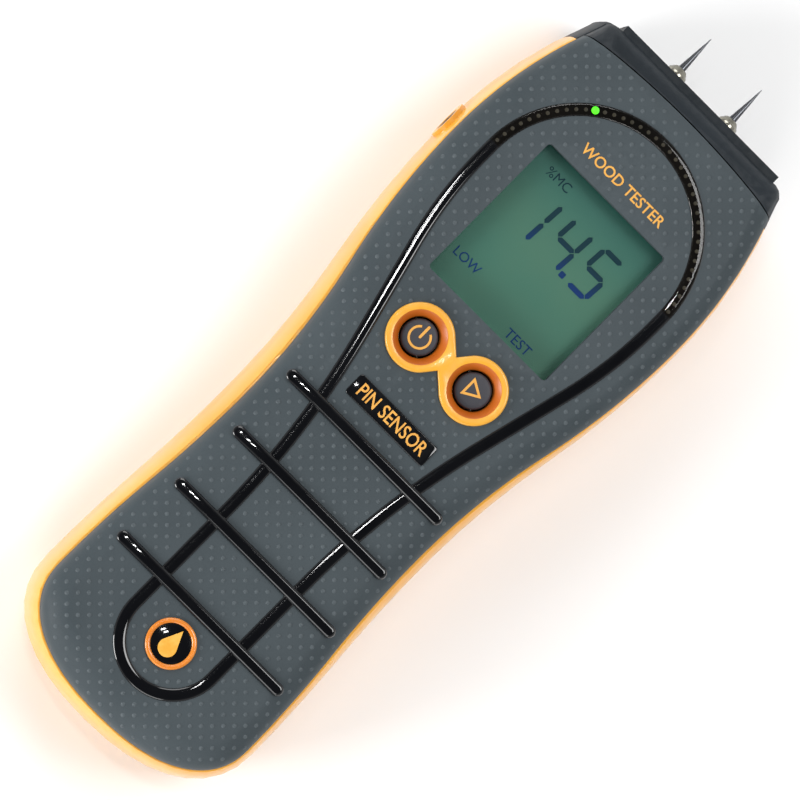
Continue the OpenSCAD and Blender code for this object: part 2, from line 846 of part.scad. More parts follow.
module battery_contacts() {
    color("silver") {
        block(2 * cell_x + 11, contact_t, cell_z - 5.5, cell_z + 5.5, bay_y + contact_t / 2);
        for (s = [-1, 1]) translate([s * cell_x, 0, 0]) {
            block(11, contact_t, cell_z - 5.5, cell_z + 5.5, bay_end_y - contact_t / 2);
            block(3, holder_wall + contact_t + eps, cell_z - 1, cell_z + 1,
                bay_end_y + (holder_wall + contact_t) / 2);
            block(3, contact_t, cell_z - 1, board_low, bay_end_y + holder_wall + contact_t / 2);
            block(3, board_y + 3 - bay_end_y - holder_wall, board_low - contact_t, board_low,
                (board_y + 3 + bay_end_y + holder_wall) / 2);
        }
    }
}

// Box from beyond the tail up to the door's end
module door_space(half, gap, low, high) {
    translate([-half, tail_end - 1, low]) cube([2 * half, door_from_tail + 1 + gap, high - low]);
}

module battery_door() {
    color("orange") {
        difference() {
            intersection() {
                loft(back_rings(0, split_z));
                union() {
                    door_space(door_half, 0, door_low, door_top);
                    door_space(door_half + door_lip, 0, door_low, door_low + lip_t);
                }
            }
            for (i = [0:4]) block(14, 1, -1, door_low + 0.4, door_end_y - 8 - 2.4 * i);
        }
        for (y = tongue_ys, s = [-1, 1]) translate([s * (door_half - 1.2 + tongue_reach / 2), 0, 0]) {
            block(tongue_reach + 2.4, tongue_len, door_top + slide_gap, door_top + 0.9, y);
            translate([-s * tongue_reach / 2, 0, 0])
                block(2.2, tongue_len, door_top - eps, door_top + 0.9, y);
        }
    }
}

module door_pad() {
    color("dimgray") block(2 * cell_x + 10, bay_len - 16, door_top, door_top + pad_t, bay_y + bay_len / 2);
}

module shell_screws() {
    color("silver") for (p = screw_spots) translate([p[0], p[1], 0]) {
        difference() {
            translate([0, 0, 1.4]) cylinder(r = screw_head_r, h = 2);
            translate([0, 0, 0]) cylinder(r = 1.2, h = 2.4, $fn = 6);
        }
        translate([0, 0, 3.4 - eps]) cylinder(r = screw_r, h = split_z + 4 - 3.4);
    }
}

module board_screws() {
    color("silver") for (p = board_spots) translate([p[0], p[1], board_low - 1.3]) {
        difference() {
            cylinder(r = 1.9, h = 1.3);
            translate([0, 0, -1]) cylinder(r = 0.8, h = 1.7, $fn = 6);
        }
        cylinder(r = board_screw_r, h = board_t + 5);
    }
}

front_shell();
back_shell();
head_cap();
shell_gasket();
track_inlay();
light_window();
grip_bar(1);  // grip_bar_1
grip_bar(2);  // grip_bar_2
grip_bar(3);  // grip_bar_3
grip_bar(4);  // grip_bar_4
name_plate();
badge_ring();
badge_face();
key_bezel();
key(-1);  // power_key
key(1);  // select_key
plunger(-1);  // power_plunger
plunger(1);  // select_plunger
tact_switches();
display_window();
window_seal();
lcd_panel();
lcd_frame();
zebra_strip();
circuit_board();
board_chips();
light_row();
buzzer();
search_plate();
search_contact();
probe_socket();
needle_socket(-1);  // needle_socket_left
needle_socket(1);  // needle_socket_right
socket_tags();
collet_nut(-1);  // collet_nut_left
collet_nut(1);  // collet_nut_right
nut_washer(-1);  // nut_washer_left
nut_washer(1);  // nut_washer_right
needle(-1);  // needle_left
needle(1);  // needle_right
battery_holder();
battery(-1);  // battery_left
battery(1);  // battery_right
battery_springs();
battery_contacts();
battery_door();
door_pad();
shell_screws();
board_screws();
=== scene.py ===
from math import cos, hypot, pi, radians, sin, sqrt

import bmesh
import bpy
from mathutils import Matrix, Vector
from mathutils.bvhtree import BVHTree


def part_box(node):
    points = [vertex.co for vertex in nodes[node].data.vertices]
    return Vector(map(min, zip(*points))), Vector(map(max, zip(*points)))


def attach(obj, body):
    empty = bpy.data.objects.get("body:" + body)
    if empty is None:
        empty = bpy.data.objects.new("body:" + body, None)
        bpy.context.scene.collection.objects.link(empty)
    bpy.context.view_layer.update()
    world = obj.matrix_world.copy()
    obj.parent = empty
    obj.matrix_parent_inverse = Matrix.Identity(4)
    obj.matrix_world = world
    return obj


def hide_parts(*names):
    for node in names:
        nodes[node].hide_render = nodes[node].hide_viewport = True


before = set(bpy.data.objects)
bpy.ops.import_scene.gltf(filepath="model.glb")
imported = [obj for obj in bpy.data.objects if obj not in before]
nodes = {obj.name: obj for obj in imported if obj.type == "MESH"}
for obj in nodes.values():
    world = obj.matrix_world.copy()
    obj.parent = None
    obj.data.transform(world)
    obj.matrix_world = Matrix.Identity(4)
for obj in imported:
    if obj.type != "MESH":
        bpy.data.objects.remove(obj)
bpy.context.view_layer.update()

mm = 0.001


# the meter's own outline, in millimetres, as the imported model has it
def low(node):
    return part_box(node)[0] / mm


def high(node):
    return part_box(node)[1] / mm


def middle(node):
    return (low(node) + high(node)) / 2


tailEnd = low("back_shell").y
headEnd = high("head_cap").y
faceZ = high("front_shell").z

body = {
    "shoulderHalf": 34.0,  # half width at the shoulders, back shell
    "waistHalf": 27.6,
    "tailHalf": 29.6,
    "tailRound": 18.9,
    "shoulderFromHead": 39.8,
    "waistFromTail": 70.9,
    "sideRadius": 96.0,  # curve of the head's sides
    "tailPower": 2.3,
    "cornerRadius": 2.5,
    "platform": 1.3,  # how far the platform stands beyond the cap
    "rimHead": 1.3,  # how far the amber rim stands out, front to back shell
    "rimWaist": 2.8,
    "rimTail": 2.1,
    "crownRadius": 420.0,
    "splitZ": 25.0,
    "gasket": 0.5,
    "wall": 2.2,
    "tailSteps": 28,
    "sideSteps": 70,
    "cornerSteps": 6,
    "endSteps": 8,
}
shoulderY = headEnd - body["shoulderFromHead"]
waistY = tailEnd + body["waistFromTail"]
tailY = tailEnd + body["tailRound"]
capEnd = headEnd - body["platform"]


def crown(x):
    r = body["crownRadius"]
    return faceZ - r + sqrt(r * r - x * x)


def ease(t, a, b):
    # 1 at t = 0 down to 0 at t = 1, with rounded ends and a straight middle from a to b
    steep = 2 / (1 + b - a)
    if t <= 0:
        return 1.0
    if t >= 1:
        return 0.0
    if t < a:
        return 1 - steep * t * t / (2 * a)
    if t < b:
        return 1 - steep * a / 2 - steep * (t - a)
    return steep * (1 - t) ** 2 / (2 * (1 - b))


def arcPoints(x, y, r, first, last, steps):
    # points on an arc from one angle to another, in degrees, with both ends
    angles = [radians(first + (last - first) * i / steps) for i in range(steps + 1)]
    return [(x + r * cos(a), y + r * sin(a)) for a in angles]


def halfWidth(y, front, inset):
    # front is 0 for the back shell's widest line and 1 for the front shell's
    s = body["shoulderHalf"] - body["rimHead"] * front - inset
    w = body["waistHalf"] - body["rimWaist"] * front - inset
    t = body["tailHalf"] - body["rimTail"] * front - inset
    if y > shoulderY:
        r = body["sideRadius"]
        return s - r + sqrt(r * r - (y - shoulderY) ** 2)
    if y > waistY:
        return w + (s - w) * ease((shoulderY - y) / (shoulderY - waistY), 0.5, 0.5)
    return t + (w - t) * ease((waistY - y) / (waistY - tailY), 0.5, 0.5)


def bodyOutline(front, inset):
    # anticlockwise from the middle of the tail
    t = body["tailHalf"] - body["rimTail"] * front - inset
    e = body["tailRound"] - body["rimTail"] * front - inset
    power = 2 / body["tailPower"]
    half = []
    for i in range(body["tailSteps"]):
        a = radians(90 * i / body["tailSteps"])
        half.append((t * sin(a) ** power, tailY - e * cos(a) ** power))
    r = body["cornerRadius"]
    cornerY = capEnd - inset - r
    for i in range(body["sideSteps"]):
        y = tailY + (cornerY - tailY) * i / body["sideSteps"]
        half.append((halfWidth(y, front, inset), y))
    cornerX = halfWidth(cornerY, front, inset) - r
    half += arcPoints(cornerX, cornerY, r, 0, 90, body["cornerSteps"])
    for i in range(1, body["endSteps"]):
        half.append((cornerX * (1 - i / body["endSteps"]), cornerY + r))
    half.append((0, cornerY + r))
    return half + [(-x, y) for x, y in reversed(half[1:-1])]


# mesh helpers; every piece is drawn in millimetres and made metres at the end
def vertsOf(geom):
    return [g for g in geom if isinstance(g, bmesh.types.BMVert)]


def edgesOf(geom):
    return [g for g in geom if isinstance(g, bmesh.types.BMEdge)]


def facesOf(geom):
    return [g for g in geom if isinstance(g, bmesh.types.BMFace)]


def ringLoft(rings, closeStart=False, closeEnd=False, joinEnds=False):
    # extrudes the first ring along the others, which have as many points
    bm = bmesh.new()
    spot = bm.verts.layers.int.new("spot")
    first = []
    for i, p in enumerate(rings[0]):
        v = bm.verts.new(p)
        v[spot] = i
        first.append(v)
    edges = [bm.edges.new((a, b)) for a, b in zip(first, first[1:] + first[:1])]
    startEdges = edges[:]
    for ring in rings[1:]:
        grown = bmesh.ops.extrude_edge_only(bm, edges=edges)["geom"]
        for v in vertsOf(grown):
            v.co = ring[v[spot]]
        edges = [e for e in edgesOf(grown) if len(e.link_faces) == 1
                 and all((v.co - Vector(ring[v[spot]])).length < 1e-6 for v in e.verts)]
    if joinEnds:
        bmesh.ops.bridge_loops(bm, edges=startEdges + edges)
    if closeStart:
        bmesh.ops.edgeloop_fill(bm, edges=startEdges)
    if closeEnd:
        bmesh.ops.edgeloop_fill(bm, edges=edges)
    return bm, edges


def fixNormals(bm):
    bmesh.ops.remove_doubles(bm, verts=bm.verts, dist=1e-5)
    bmesh.ops.recalc_face_normals(bm, faces=bm.faces)


def makePiece(bm, name, labels, rides, replaced=(), angle=35):
    bmesh.ops.scale(bm, vec=(mm, mm, mm), verts=bm.verts)
    # angle is the bend in degrees from which an edge is drawn sharp
    for f in bm.faces:
        f.smooth = True
    for e in bm.edges:
        e.smooth = e.calc_face_angle(0.0) < radians(angle)
    mesh = bpy.data.meshes.new(name)
    bm.to_mesh(mesh)
    bm.free()
    piece = bpy.data.objects.new(name, mesh)
    bpy.context.scene.collection.objects.link(piece)
    for label in labels:
        mesh.materials.append(finish[label])
    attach(piece, rides)
    if replaced:
        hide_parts(*replaced)
    return piece


def circleLoop(bm, x, y, z, r, count=48):
    made = bmesh.ops.create_circle(bm, segments=count, radius=r, cap_ends=False,
                                   matrix=Matrix.Translation((x, y, z)))["verts"]
    return list({e for v in made for e in v.link_edges})


def loopEdges(bm, points):
    verts = [bm.verts.new(p) for p in points]
    return [bm.edges.new((a, b)) for a, b in zip(verts, verts[1:] + verts[:1])]


def roundedRect(w, h, r, x=0.0, y=0.0, steps=8):
    points = []
    for cx, cy, a0 in ((w / 2 - r, h / 2 - r, 0), (r - w / 2, h / 2 - r, 90),
                       (r - w / 2, r - h / 2, 180), (w / 2 - r, r - h / 2, 270)):
        points += arcPoints(x + cx, y + cy, r, a0, a0 + 90, steps)
    return points


def cutAcross(bm, geom, x, near=1e-6):
    # cuts with the upright plane at x
    return bmesh.ops.bisect_plane(bm, geom=geom, dist=near, plane_co=(x, 0, 0), plane_no=(1, 0, 0))["geom"]


def wholeOf(bm):
    return bm.verts[:] + bm.edges[:] + bm.faces[:]


def bendToCrown(bm, lift=0.0, reach=36, step=2.0):
    # cuts across X so that flat pieces can follow the crowned face
    x = -reach
    while x <= reach:
        cutAcross(bm, wholeOf(bm), x)
        x += step
    for v in bm.verts:
        v.co.z += crown(v.co.x) + lift


def smoothCopy(node, bevel, angle):
    # a merged copy of a CAD node's mesh, in millimetres, with its sharp edges broken
    bm = bmesh.new()
    bm.from_mesh(nodes[node].data)
    bmesh.ops.scale(bm, vec=(1 / mm, 1 / mm, 1 / mm), verts=bm.verts)
    bmesh.ops.remove_doubles(bm, verts=bm.verts, dist=0.002)
    bmesh.ops.dissolve_limit(bm, angle_limit=radians(0.3), use_dissolve_boundaries=False,
                             verts=bm.verts, edges=bm.edges)
    if bevel:
        sharp = [e for e in bm.edges if e.is_manifold and e.calc_face_angle(0.0) > radians(angle)]
        bmesh.ops.bevel(bm, geom=sharp, offset=bevel, offset_type="OFFSET", affect="EDGES",
                        segments=2, profile=0.5, material=-1, clamp_overlap=True)
    return bm


# shared material effects
def newGroup(name, inputs, outputs):
    # the inputs and outputs give each label's kind
    group = bpy.data.node_groups.new(name, "ShaderNodeTree")
    for way, sockets in (("INPUT", inputs), ("OUTPUT", outputs)):
        for label, kind in sockets.items():
            group.interface.new_socket(name=label, in_out=way, socket_type="NodeSocket" + kind)
    return group, group.nodes.new("NodeGroupInput").outputs, group.nodes.new("NodeGroupOutput").inputs


def feed(tree, socket, value):
    # another node's socket is linked; a number or a colour is set
    if isinstance(value, bpy.types.NodeSocket):
        tree.links.new(value, socket)
    else:
        socket.default_value = value


def addMath(tree, kind, a, b, clamp=False):
    n = tree.nodes.new("ShaderNodeMath")
    n.operation = kind
    n.use_clamp = clamp
    feed(tree, n.inputs[0], a)
    feed(tree, n.inputs[1], b)
    return n.outputs[0]


def addNoise(tree, vector, scale, detail, roughness=0.5):
    n = tree.nodes.new("ShaderNodeTexNoise")
    for label, value in (("Vector", vector), ("Scale", scale), ("Detail", detail), ("Roughness", roughness)):
        feed(tree, n.inputs[label], value)
    return n.outputs["Fac"]


def addRange(tree, value, fromLow, fromHigh, toLow, toHigh, smooth=False):
    n = tree.nodes.new("ShaderNodeMapRange")
    n.interpolation_type = "SMOOTHSTEP" if smooth else "LINEAR"
    for label, v in (("Value", value), ("From Min", fromLow), ("From Max", fromHigh), ("To Min", toLow),
                     ("To Max", toHigh)):
        feed(tree, n.inputs[label], v)
    return n.outputs["Result"]


def addMix(tree, fac, a, b):
    n = tree.nodes.new("ShaderNodeMix")
    n.data_type = "RGBA"
    for index, value in ((0, fac), (6, a), (7, b)):
        feed(tree, n.inputs[index], value)
    return n.outputs[2]


def addGroup(tree, group, values):
    n = tree.nodes.new("ShaderNodeGroup")
    n.node_tree = group
    for label, value in values.items():
        feed(tree, n.inputs[label], value)
    return n.outputs


def buildGrain():
    # mottled colour, uneven gloss and a fine moulded grain
    g, given, out = newGroup("mouldedGrain", {
        "Vector": "Vector", "Tone": "Color", "Other Tone": "Color", "Patch Scale": "Float",
        "Grain Scale": "Float", "Gloss Low": "Float", "Gloss High": "Float"},
        {"Color": "Color", "Roughness": "Float", "Height": "Float"})
    patch = addNoise(g, given["Vector"], given["Patch Scale"], 4.0)
    fine = addNoise(g, given["Vector"], given["Grain Scale"], 2.0)
    blend = addRange(g, patch, 0.3, 0.7, 0.0, 1.0)
    speck = addRange(g, fine, 0.35, 0.65, 0.0, 0.25)
    both = addMath(g, "ADD", blend, speck, True)
    g.links.new(addMix(g, both, given["Tone"], given["Other Tone"]), out["Color"])
    g.links.new(addRange(g, patch, 0.25, 0.75, given["Gloss Low"], given["Gloss High"]), out["Roughness"])
    g.links.new(fine, out["Height"])
    return g


def buildWear():
    # convex edges take the worn colour, in broken patches
    g, given, out = newGroup("edgeWear", {
        "Vector": "Vector", "Color": "Color", "Worn": "Color", "Amount": "Float"}, {"Color": "Color"})
    pointed = g.nodes.new("ShaderNodeNewGeometry").outputs["Pointiness"]
    edge = addRange(g, pointed, 0.515, 0.56, 0.0, 1.0, True)
    broken = addRange(g, addNoise(g, given["Vector"], 700.0, 4.0), 0.35, 0.6, 0.2, 1.0)
    mask = addMath(g, "MULTIPLY", addMath(g, "MULTIPLY", edge, broken), given["Amount"], True)
    g.links.new(addMix(g, mask, given["Color"], given["Worn"]), out["Color"])
    return g


def buildSmudge():
    # handling marks: raises roughness in soft patches
    g, given, out = newGroup("smudges", {
        "Vector": "Vector", "Roughness": "Float", "Amount": "Float"}, {"Roughness": "Float"})
    soft = addRange(g, addNoise(g, given["Vector"], 45.0, 5.0, 0.6), 0.45, 0.7, 0.0, 1.0, True)
    extra = addMath(g, "MULTIPLY", soft, given["Amount"])
    g.links.new(addMath(g, "ADD", given["Roughness"], extra, True), out["Roughness"])
    return g


grainGroup = buildGrain()
wearGroup = buildWear()
smudgeGroup = buildSmudge()


def rgb(screen):
    # a screen colour to the linear colour that shaders take
    return tuple(v / 255 / 12.92 if v <= 10 else ((v / 255 + 0.055) / 1.055) ** 2.4 for v in screen) + (1.0,)


def makeMaterial(name, tone, other, gloss=(0.4, 0.5), patch=60.0, grain=2500.0, bump=0.15, bumpSize=0.02,
                 worn=None, wear=0.35, smudge=0.1, metallic=0.0, coat=0.0, coatRough=0.06, specular=0.5,
                 alpha=1.0, stretch=None, glow=0.0, paintedShade=None):
    # tones are screen colours; bumpSize and the ends of the painted shade, a darkening along Y, are in
    # millimetres
    m = bpy.data.materials.new(name)
    m.use_nodes = True
    t = m.node_tree
    shader = t.nodes["Principled BSDF"]
    for label, value in (("Metallic", metallic), ("Specular IOR Level", specular), ("Coat Weight", coat),
                         ("Coat Roughness", coatRough), ("Alpha", alpha)):
        shader.inputs[label].default_value = value
    coords = t.nodes.new("ShaderNodeTexCoord").outputs["Object"]
    spread = coords
    if stretch:
        mapping = t.nodes.new("ShaderNodeMapping")
        mapping.inputs["Scale"].default_value = stretch
        t.links.new(coords, mapping.inputs["Vector"])
        spread = mapping.outputs["Vector"]
    tone = rgb(tone)
    rubbed = rgb(worn) if worn else tuple(min(1, c * 1.5 + 0.03) for c in tone[:3]) + (1.0,)
    grained = addGroup(t, grainGroup, {
        "Vector": spread, "Tone": tone, "Other Tone": rgb(other), "Patch Scale": patch, "Grain Scale": grain,
        "Gloss Low": gloss[0], "Gloss High": gloss[1]})
    used = addGroup(t, wearGroup, {
        "Vector": coords, "Color": grained["Color"], "Worn": rubbed, "Amount": wear})
    handled = addGroup(t, smudgeGroup, {
        "Vector": coords, "Roughness": grained["Roughness"], "Amount": smudge})
    t.links.new(handled["Roughness"], shader.inputs["Roughness"])
    bumpNode = t.nodes.new("ShaderNodeBump")
    bumpNode.inputs["Strength"].default_value = bump
    bumpNode.inputs["Distance"].default_value = bumpSize * mm
    t.links.new(grained["Height"], bumpNode.inputs["Height"])
    t.links.new(bumpNode.outputs["Normal"], shader.inputs["Normal"])
    colour = used["Color"]
    # painted shade: the colour darkens along Y towards a shaded tone
    if paintedShade:
        place = t.nodes.new("ShaderNodeSeparateXYZ")
        t.links.new(coords, place.inputs[0])
        share = addRange(t, place.outputs["Y"], paintedShade["from"] * mm, paintedShade["to"] * mm, 0.0, 1.0, True)
        colour = addMix(t, share, colour, rgb(paintedShade["tone"]))
    t.links.new(colour, shader.inputs["Base Color"])
    if glow:
        t.links.new(colour, shader.inputs["Emission Color"])
        shader.inputs["Emission Strength"].default_value = glow
    return m


displayY = middle("lcd_panel").y
looks = {
    "greyShell": dict(tone=(56, 64, 68), other=(66, 74, 78), gloss=(0.5, 0.6), patch=40.0, grain=3500.0,
        bump=0.35, bumpSize=0.03, wear=0.2, specular=0.2),
    # painted highlight: the dots are the shell's grey made lighter, for the light that catches them
    "greyDotsPaintedLight": dict(tone=(62, 70, 74), other=(74, 82, 86), gloss=(0.45, 0.55), patch=200.0, grain=3500.0,
        bump=0.2, wear=0.2, specular=0.3),
    "amberShell": dict(tone=(240, 172, 54), other=(230, 160, 46), gloss=(0.26, 0.36), bump=0.12, coat=0.4,
        worn=(250, 190, 100)),
    "slate": dict(tone=(22, 28, 33), other=(30, 37, 43), gloss=(0.45, 0.55), bump=0.25, bumpSize=0.03,
        specular=0.2),
    "blackGloss": dict(tone=(6, 7, 10), other=(11, 12, 15), gloss=(0.06, 0.09), grain=300.0, bump=0.01,
        smudge=0.05, coat=1.0, coatRough=0.02, specular=0.1, wear=0.15),
    "smokedLens": dict(tone=(14, 12, 9), other=(21, 18, 14), gloss=(0.07, 0.1), grain=300.0, bump=0.01,
        smudge=0.05, coat=1.0, coatRough=0.02, specular=0.1, alpha=0.55, wear=0.0),
    "keyRubber": dict(tone=(42, 43, 50), other=(50, 51, 58), gloss=(0.5, 0.62), bump=0.3),
    "amberBezel": dict(tone=(230, 166, 46), other=(222, 154, 38), gloss=(0.28, 0.36), bump=0.08, coat=0.2,
        worn=(250, 205, 110)),
    # painted shade: the slope is the bezel's own amber made darker, for the shade down its throat
    "amberSlopePaintedShade": dict(tone=(190, 98, 24), other=(178, 88, 18), gloss=(0.3, 0.4), bump=0.08,
        worn=(240, 160, 60)),
    "badgeAmber": dict(tone=(222, 130, 34), other=(210, 116, 28), gloss=(0.22, 0.3), bump=0.06, coat=0.4,
        worn=(244, 170, 70)),
    "clearWindow": dict(tone=(70, 84, 78), other=(80, 92, 86), gloss=(0.03, 0.07), bump=0.01, smudge=0.06,
        alpha=0.03, wear=0.0),
    # painted shade: the glass darkens towards the top of the display, where the opening's wall shades it
    "lcdGlass": dict(tone=(56, 106, 92), other=(66, 108, 90), gloss=(0.3, 0.38), bump=0.02, patch=30.0,
        wear=0.0, specular=0.2, paintedShade={"from": displayY, "to": displayY + 19, "tone": (46, 96, 86)}),
    # painted shade: the figures darken towards the top of the display, under the opening wall's shade
    "lcdInk": dict(tone=(6, 40, 104), other=(6, 48, 98), gloss=(0.4, 0.5), patch=90.0, bump=0.02, wear=0.0,
        specular=0.1, paintedShade={"from": displayY - 2, "to": displayY + 7, "tone": (8, 44, 54)}),
    "amberInk": dict(tone=(222, 162, 66), other=(212, 150, 58), gloss=(0.45, 0.6), patch=500.0, bump=0.1,
        wear=0.1),
    "lightPlastic": dict(tone=(226, 226, 220), other=(216, 216, 210)),
    "darkPlastic": dict(tone=(34, 35, 37), other=(42, 43, 46), bump=0.25),
    "foam": dict(tone=(40, 41, 44), other=(52, 53, 56), gloss=(0.8, 0.95), grain=1600.0, bump=0.9,
        bumpSize=0.12),
    "contactRubber": dict(tone=(190, 120, 130), other=(176, 106, 118), gloss=(0.6, 0.7), stretch=(8, 1, 1)),
    "boardGreen": dict(tone=(22, 84, 48), other=(34, 100, 58), gloss=(0.25, 0.35), patch=300.0, bump=0.2,
        coat=0.2),
    "chipBlack": dict(tone=(26, 26, 28), other=(36, 36, 38), gloss=(0.5, 0.6), bump=0.3),
    "ledClear": dict(tone=(112, 106, 88), other=(86, 82, 68), gloss=(0.3, 0.4), patch=400.0, bump=0.05),
    "ledLit": dict(tone=(50, 210, 20), other=(90, 235, 40), gloss=(0.2, 0.3), bump=0.05, glow=4.0),
    # painted reflection: the needles' steel is made dark for the dark surroundings that it mirrors
    "needleSteelPaintedDark": dict(tone=(96, 97, 100), other=(78, 80, 84), gloss=(0.2, 0.3), metallic=1.0,
        stretch=(1, 0.06, 1), patch=900.0, bump=0.1),
    # painted reflection: the nuts' nickel is made darker for the dark surroundings that it mirrors
    "nutNickelPaintedDark": dict(tone=(150, 147, 136), other=(122, 120, 110), gloss=(0.2, 0.32), metallic=1.0,
        stretch=(0.3, 6, 0.3), bump=0.08),
    "brightSteel": dict(tone=(176, 178, 180), other=(150, 152, 156), gloss=(0.2, 0.32), metallic=1.0,
        stretch=(1, 0.06, 1), patch=900.0, bump=0.1),
    "nickel": dict(tone=(214, 211, 204), other=(190, 187, 180), gloss=(0.18, 0.3), metallic=1.0,
        stretch=(0.3, 6, 0.3), bump=0.08),
    "brass": dict(tone=(206, 168, 92), other=(184, 146, 76), gloss=(0.22, 0.34), metallic=1.0,
        stretch=(0.3, 6, 0.3), bump=0.1),
    "copper": dict(tone=(200, 124, 86), other=(176, 100, 66), gloss=(0.25, 0.4), metallic=1.0),
    "cellWrap": dict(tone=(58, 60, 68), other=(72, 74, 84), gloss=(0.22, 0.3), coat=0.2),
}
finish = {name: makeMaterial(name, **look) for name, look in looks.items()}
print("materials ready")

# every CAD node that stays gets its finish; replaced ones are dealt with below
nodeFinish = {
    "foam": ("shell_gasket", "window_seal", "door_pad"),
    "lightPlastic": ("lcd_frame", "power_plunger", "select_plunger"),
    "contactRubber": ("zebra_strip",),
    "boardGreen": ("circuit_board",),
    "chipBlack": ("board_chips",),
    "ledClear": ("light_row",),
    "darkPlastic": ("buzzer", "battery_holder"),
    "copper": ("search_plate",),
    "brass": ("search_contact", "socket_tags", "needle_socket_left", "needle_socket_right"),
    "nickel": ("tact_switches", "battery_springs", "battery_contacts"),
    "nutNickelPaintedDark": ("nut_washer_left", "nut_washer_right"),
    "needleSteelPaintedDark": ("needle_left", "needle_right"),
    "cellWrap": ("battery_left", "battery_right"),
    "brightSteel": ("shell_screws", "board_screws"),
    "clearWindow": ("display_window",),
}
for label, names in nodeFinish.items():
    for node in names:
        mesh = nodes[node].data
        mesh.materials.clear()
        mesh.materials.append(finish[label])


# front shell
shell = {
    "profile": [(0.0, 0.0), (3.25, 0.35), (5.25, 1.3), (6.45, 2.8), (7.35, 4.8), (8.05, 7.5)],
    "roundSteps": 4,
    "openingW": 34.0,
    "openingH": 36.0,
    "openingR": 0.9,
    "keyHole": 6.0,
    "seamGap": 0.12,
    "seamRadius": 190.0,
    "seamFromHead": 5.6,
    "lap": 0.25,  # how far the profile starts below the seam
    "thinner": 0.2,  # how much thinner the visible wall is than the body's
    "cuts": 13,  # cuts across the face on each side of its middle
    "cutPitch": 2.0,
    "cutShift": 0.013,
}
keyX, keyY = middle("select_key").xy


def smoothProfile(points, steps):
    # a curve through the points, for rounded shoulders
    out = []
    for i in range(len(points) - 1):
        p0, p1, p2 = points[max(i - 1, 0)], points[i], points[i + 1]
        p3 = points[min(i + 2, len(points) - 1)]
        for s in range(steps):
            t = s / steps
            out.append(tuple(0.5 * (2 * p1[k] + (p2[k] - p0[k]) * t
                             + (2 * p0[k] - 5 * p1[k] + 4 * p2[k] - p3[k]) * t * t
                             + (3 * p1[k] - p0[k] - 3 * p2[k] + p3[k]) * t ** 3) for k in (0, 1)))
    return out + [points[-1]]


def seamBend(bm, sign):
    for v in bm.verts:
        v.co.y += sign * v.co.x ** 2 / (2 * shell["seamRadius"])


def upperSkin():
    base = body["splitZ"] + body["gasket"] / 2
    rings = []
    for rise, inset in smoothProfile(shell["profile"], shell["roundSteps"]):
        rings.append([(x, y, min(base - shell["lap"] + rise, crown(x))) for x, y in bodyOutline(1, inset)])
    rings[0] = [(x, y, base) for x, y, z in rings[0]]
    bm, edges = ringLoft(rings)
    for e in edges:
        for v in e.verts:
            v.co.z = 0
    return bm, edges


def buildFrontShell():
    bm, edges = upperSkin()
    openings = loopEdges(bm, [(x, y, 0) for x, y in roundedRect(
        shell["openingW"], shell["openingH"], shell["openingR"], 0, displayY)])
    for side in (-1, 1):
        openings += circleLoop(bm, side * keyX, keyY, 0, shell["keyHole"])
    made = bmesh.ops.triangle_fill(bm, edges=edges + openings, use_beauty=True, normal=(0, 0, 1))["geom"]
    flat = facesOf(made)
    for i in range(-shell["cuts"], shell["cuts"] + 1):
        geom = list({x for f in flat if f.is_valid for x in (*f.verts, *f.edges, f)})
        cut = cutAcross(bm, geom, i * shell["cutPitch"] + shell["cutShift"], 1e-5)
        flat = facesOf(cut)
    for v in {v for f in flat for v in f.verts}:
        v.co.z = crown(v.co.x)
    seamBend(bm, 1)
    seam = headEnd - shell["seamFromHead"] - shell["seamGap"]
    bmesh.ops.bisect_plane(bm, geom=wholeOf(bm), dist=1e-5, plane_co=(0, seam, 0), plane_no=(0, 1, 0),
                           clear_outer=True)
    seamBend(bm, -1)
    bmesh.ops.recalc_face_normals(bm, faces=bm.faces)
    if sum(f.normal.z for f in bm.faces) < 0:
        bmesh.ops.reverse_faces(bm, faces=bm.faces)
    bmesh.ops.solidify(bm, geom=bm.faces[:], thickness=body["wall"] - shell["thinner"])
    makePiece(bm, "frontShell", ["greyShell"], "meter", ["front_shell"], 40)


buildFrontShell()
print("front shell ready")

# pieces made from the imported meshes; the last value is how far their edges are broken
sharpAngle = 30
carried = {
    "back_shell": ("backShell", "amberShell", "meter", "amber_shell", 0.0),
    "head_cap": ("headCap", "slate", "meter", "slate_cap", 0.25),
    "battery_door": ("batteryDoor", "amberShell", "battery_door", "amber_shell", 0.15),
    "probe_socket": ("probeSocket", "darkPlastic", "meter", "dark_plastic", 0.15),
}
for node, (name, label, rides, slotName, bevel) in carried.items():
    piece = makePiece(smoothCopy(node, bevel, sharpAngle), name, [label], rides, [node],
                      sharpAngle)
    even = piece.modifiers.new("evenNormals", "WEIGHTED_NORMAL")
    even.keep_sharp = True
    even.weight = 100
print("shells ready")


# the looped bead and its smoked window
track = {
    "radius": 26.5,
    "lowRadius": 12.5,
    "width": 2.75,
    "proud": 0.4,
    "sink": 0.35,
    "centreFromHead": 38.0,
    "lowFromTail": 23.5,
    "calfFromTail": 49.9,
    "hipDrop": 2.8,
    "easeFrom": 0.26,
    "easeTo": 0.49,
    "sides": 9,
    "topSteps": 60,
    "legSteps": 120,
    "lowSteps": 30,
    # painted shade: the dark bed is a black sheet that stands for the shade in the hollow under the smoked
    # window
    "bed": 0.02,  # height of the dark bed under the smoked window
}
trackY = headEnd - track["centreFromHead"]
trackLowY = tailEnd + track["lowFromTail"]
hipY = trackY - track["hipDrop"]
calfY = tailEnd + track["calfFromTail"]
windowEndY = low("light_window").y


def trackHalf(y):
    spread = track["radius"] - track["lowRadius"]
    share = ease((hipY - y) / (hipY - calfY), track["easeFrom"], track["easeTo"])
    return track["lowRadius"] + spread * share


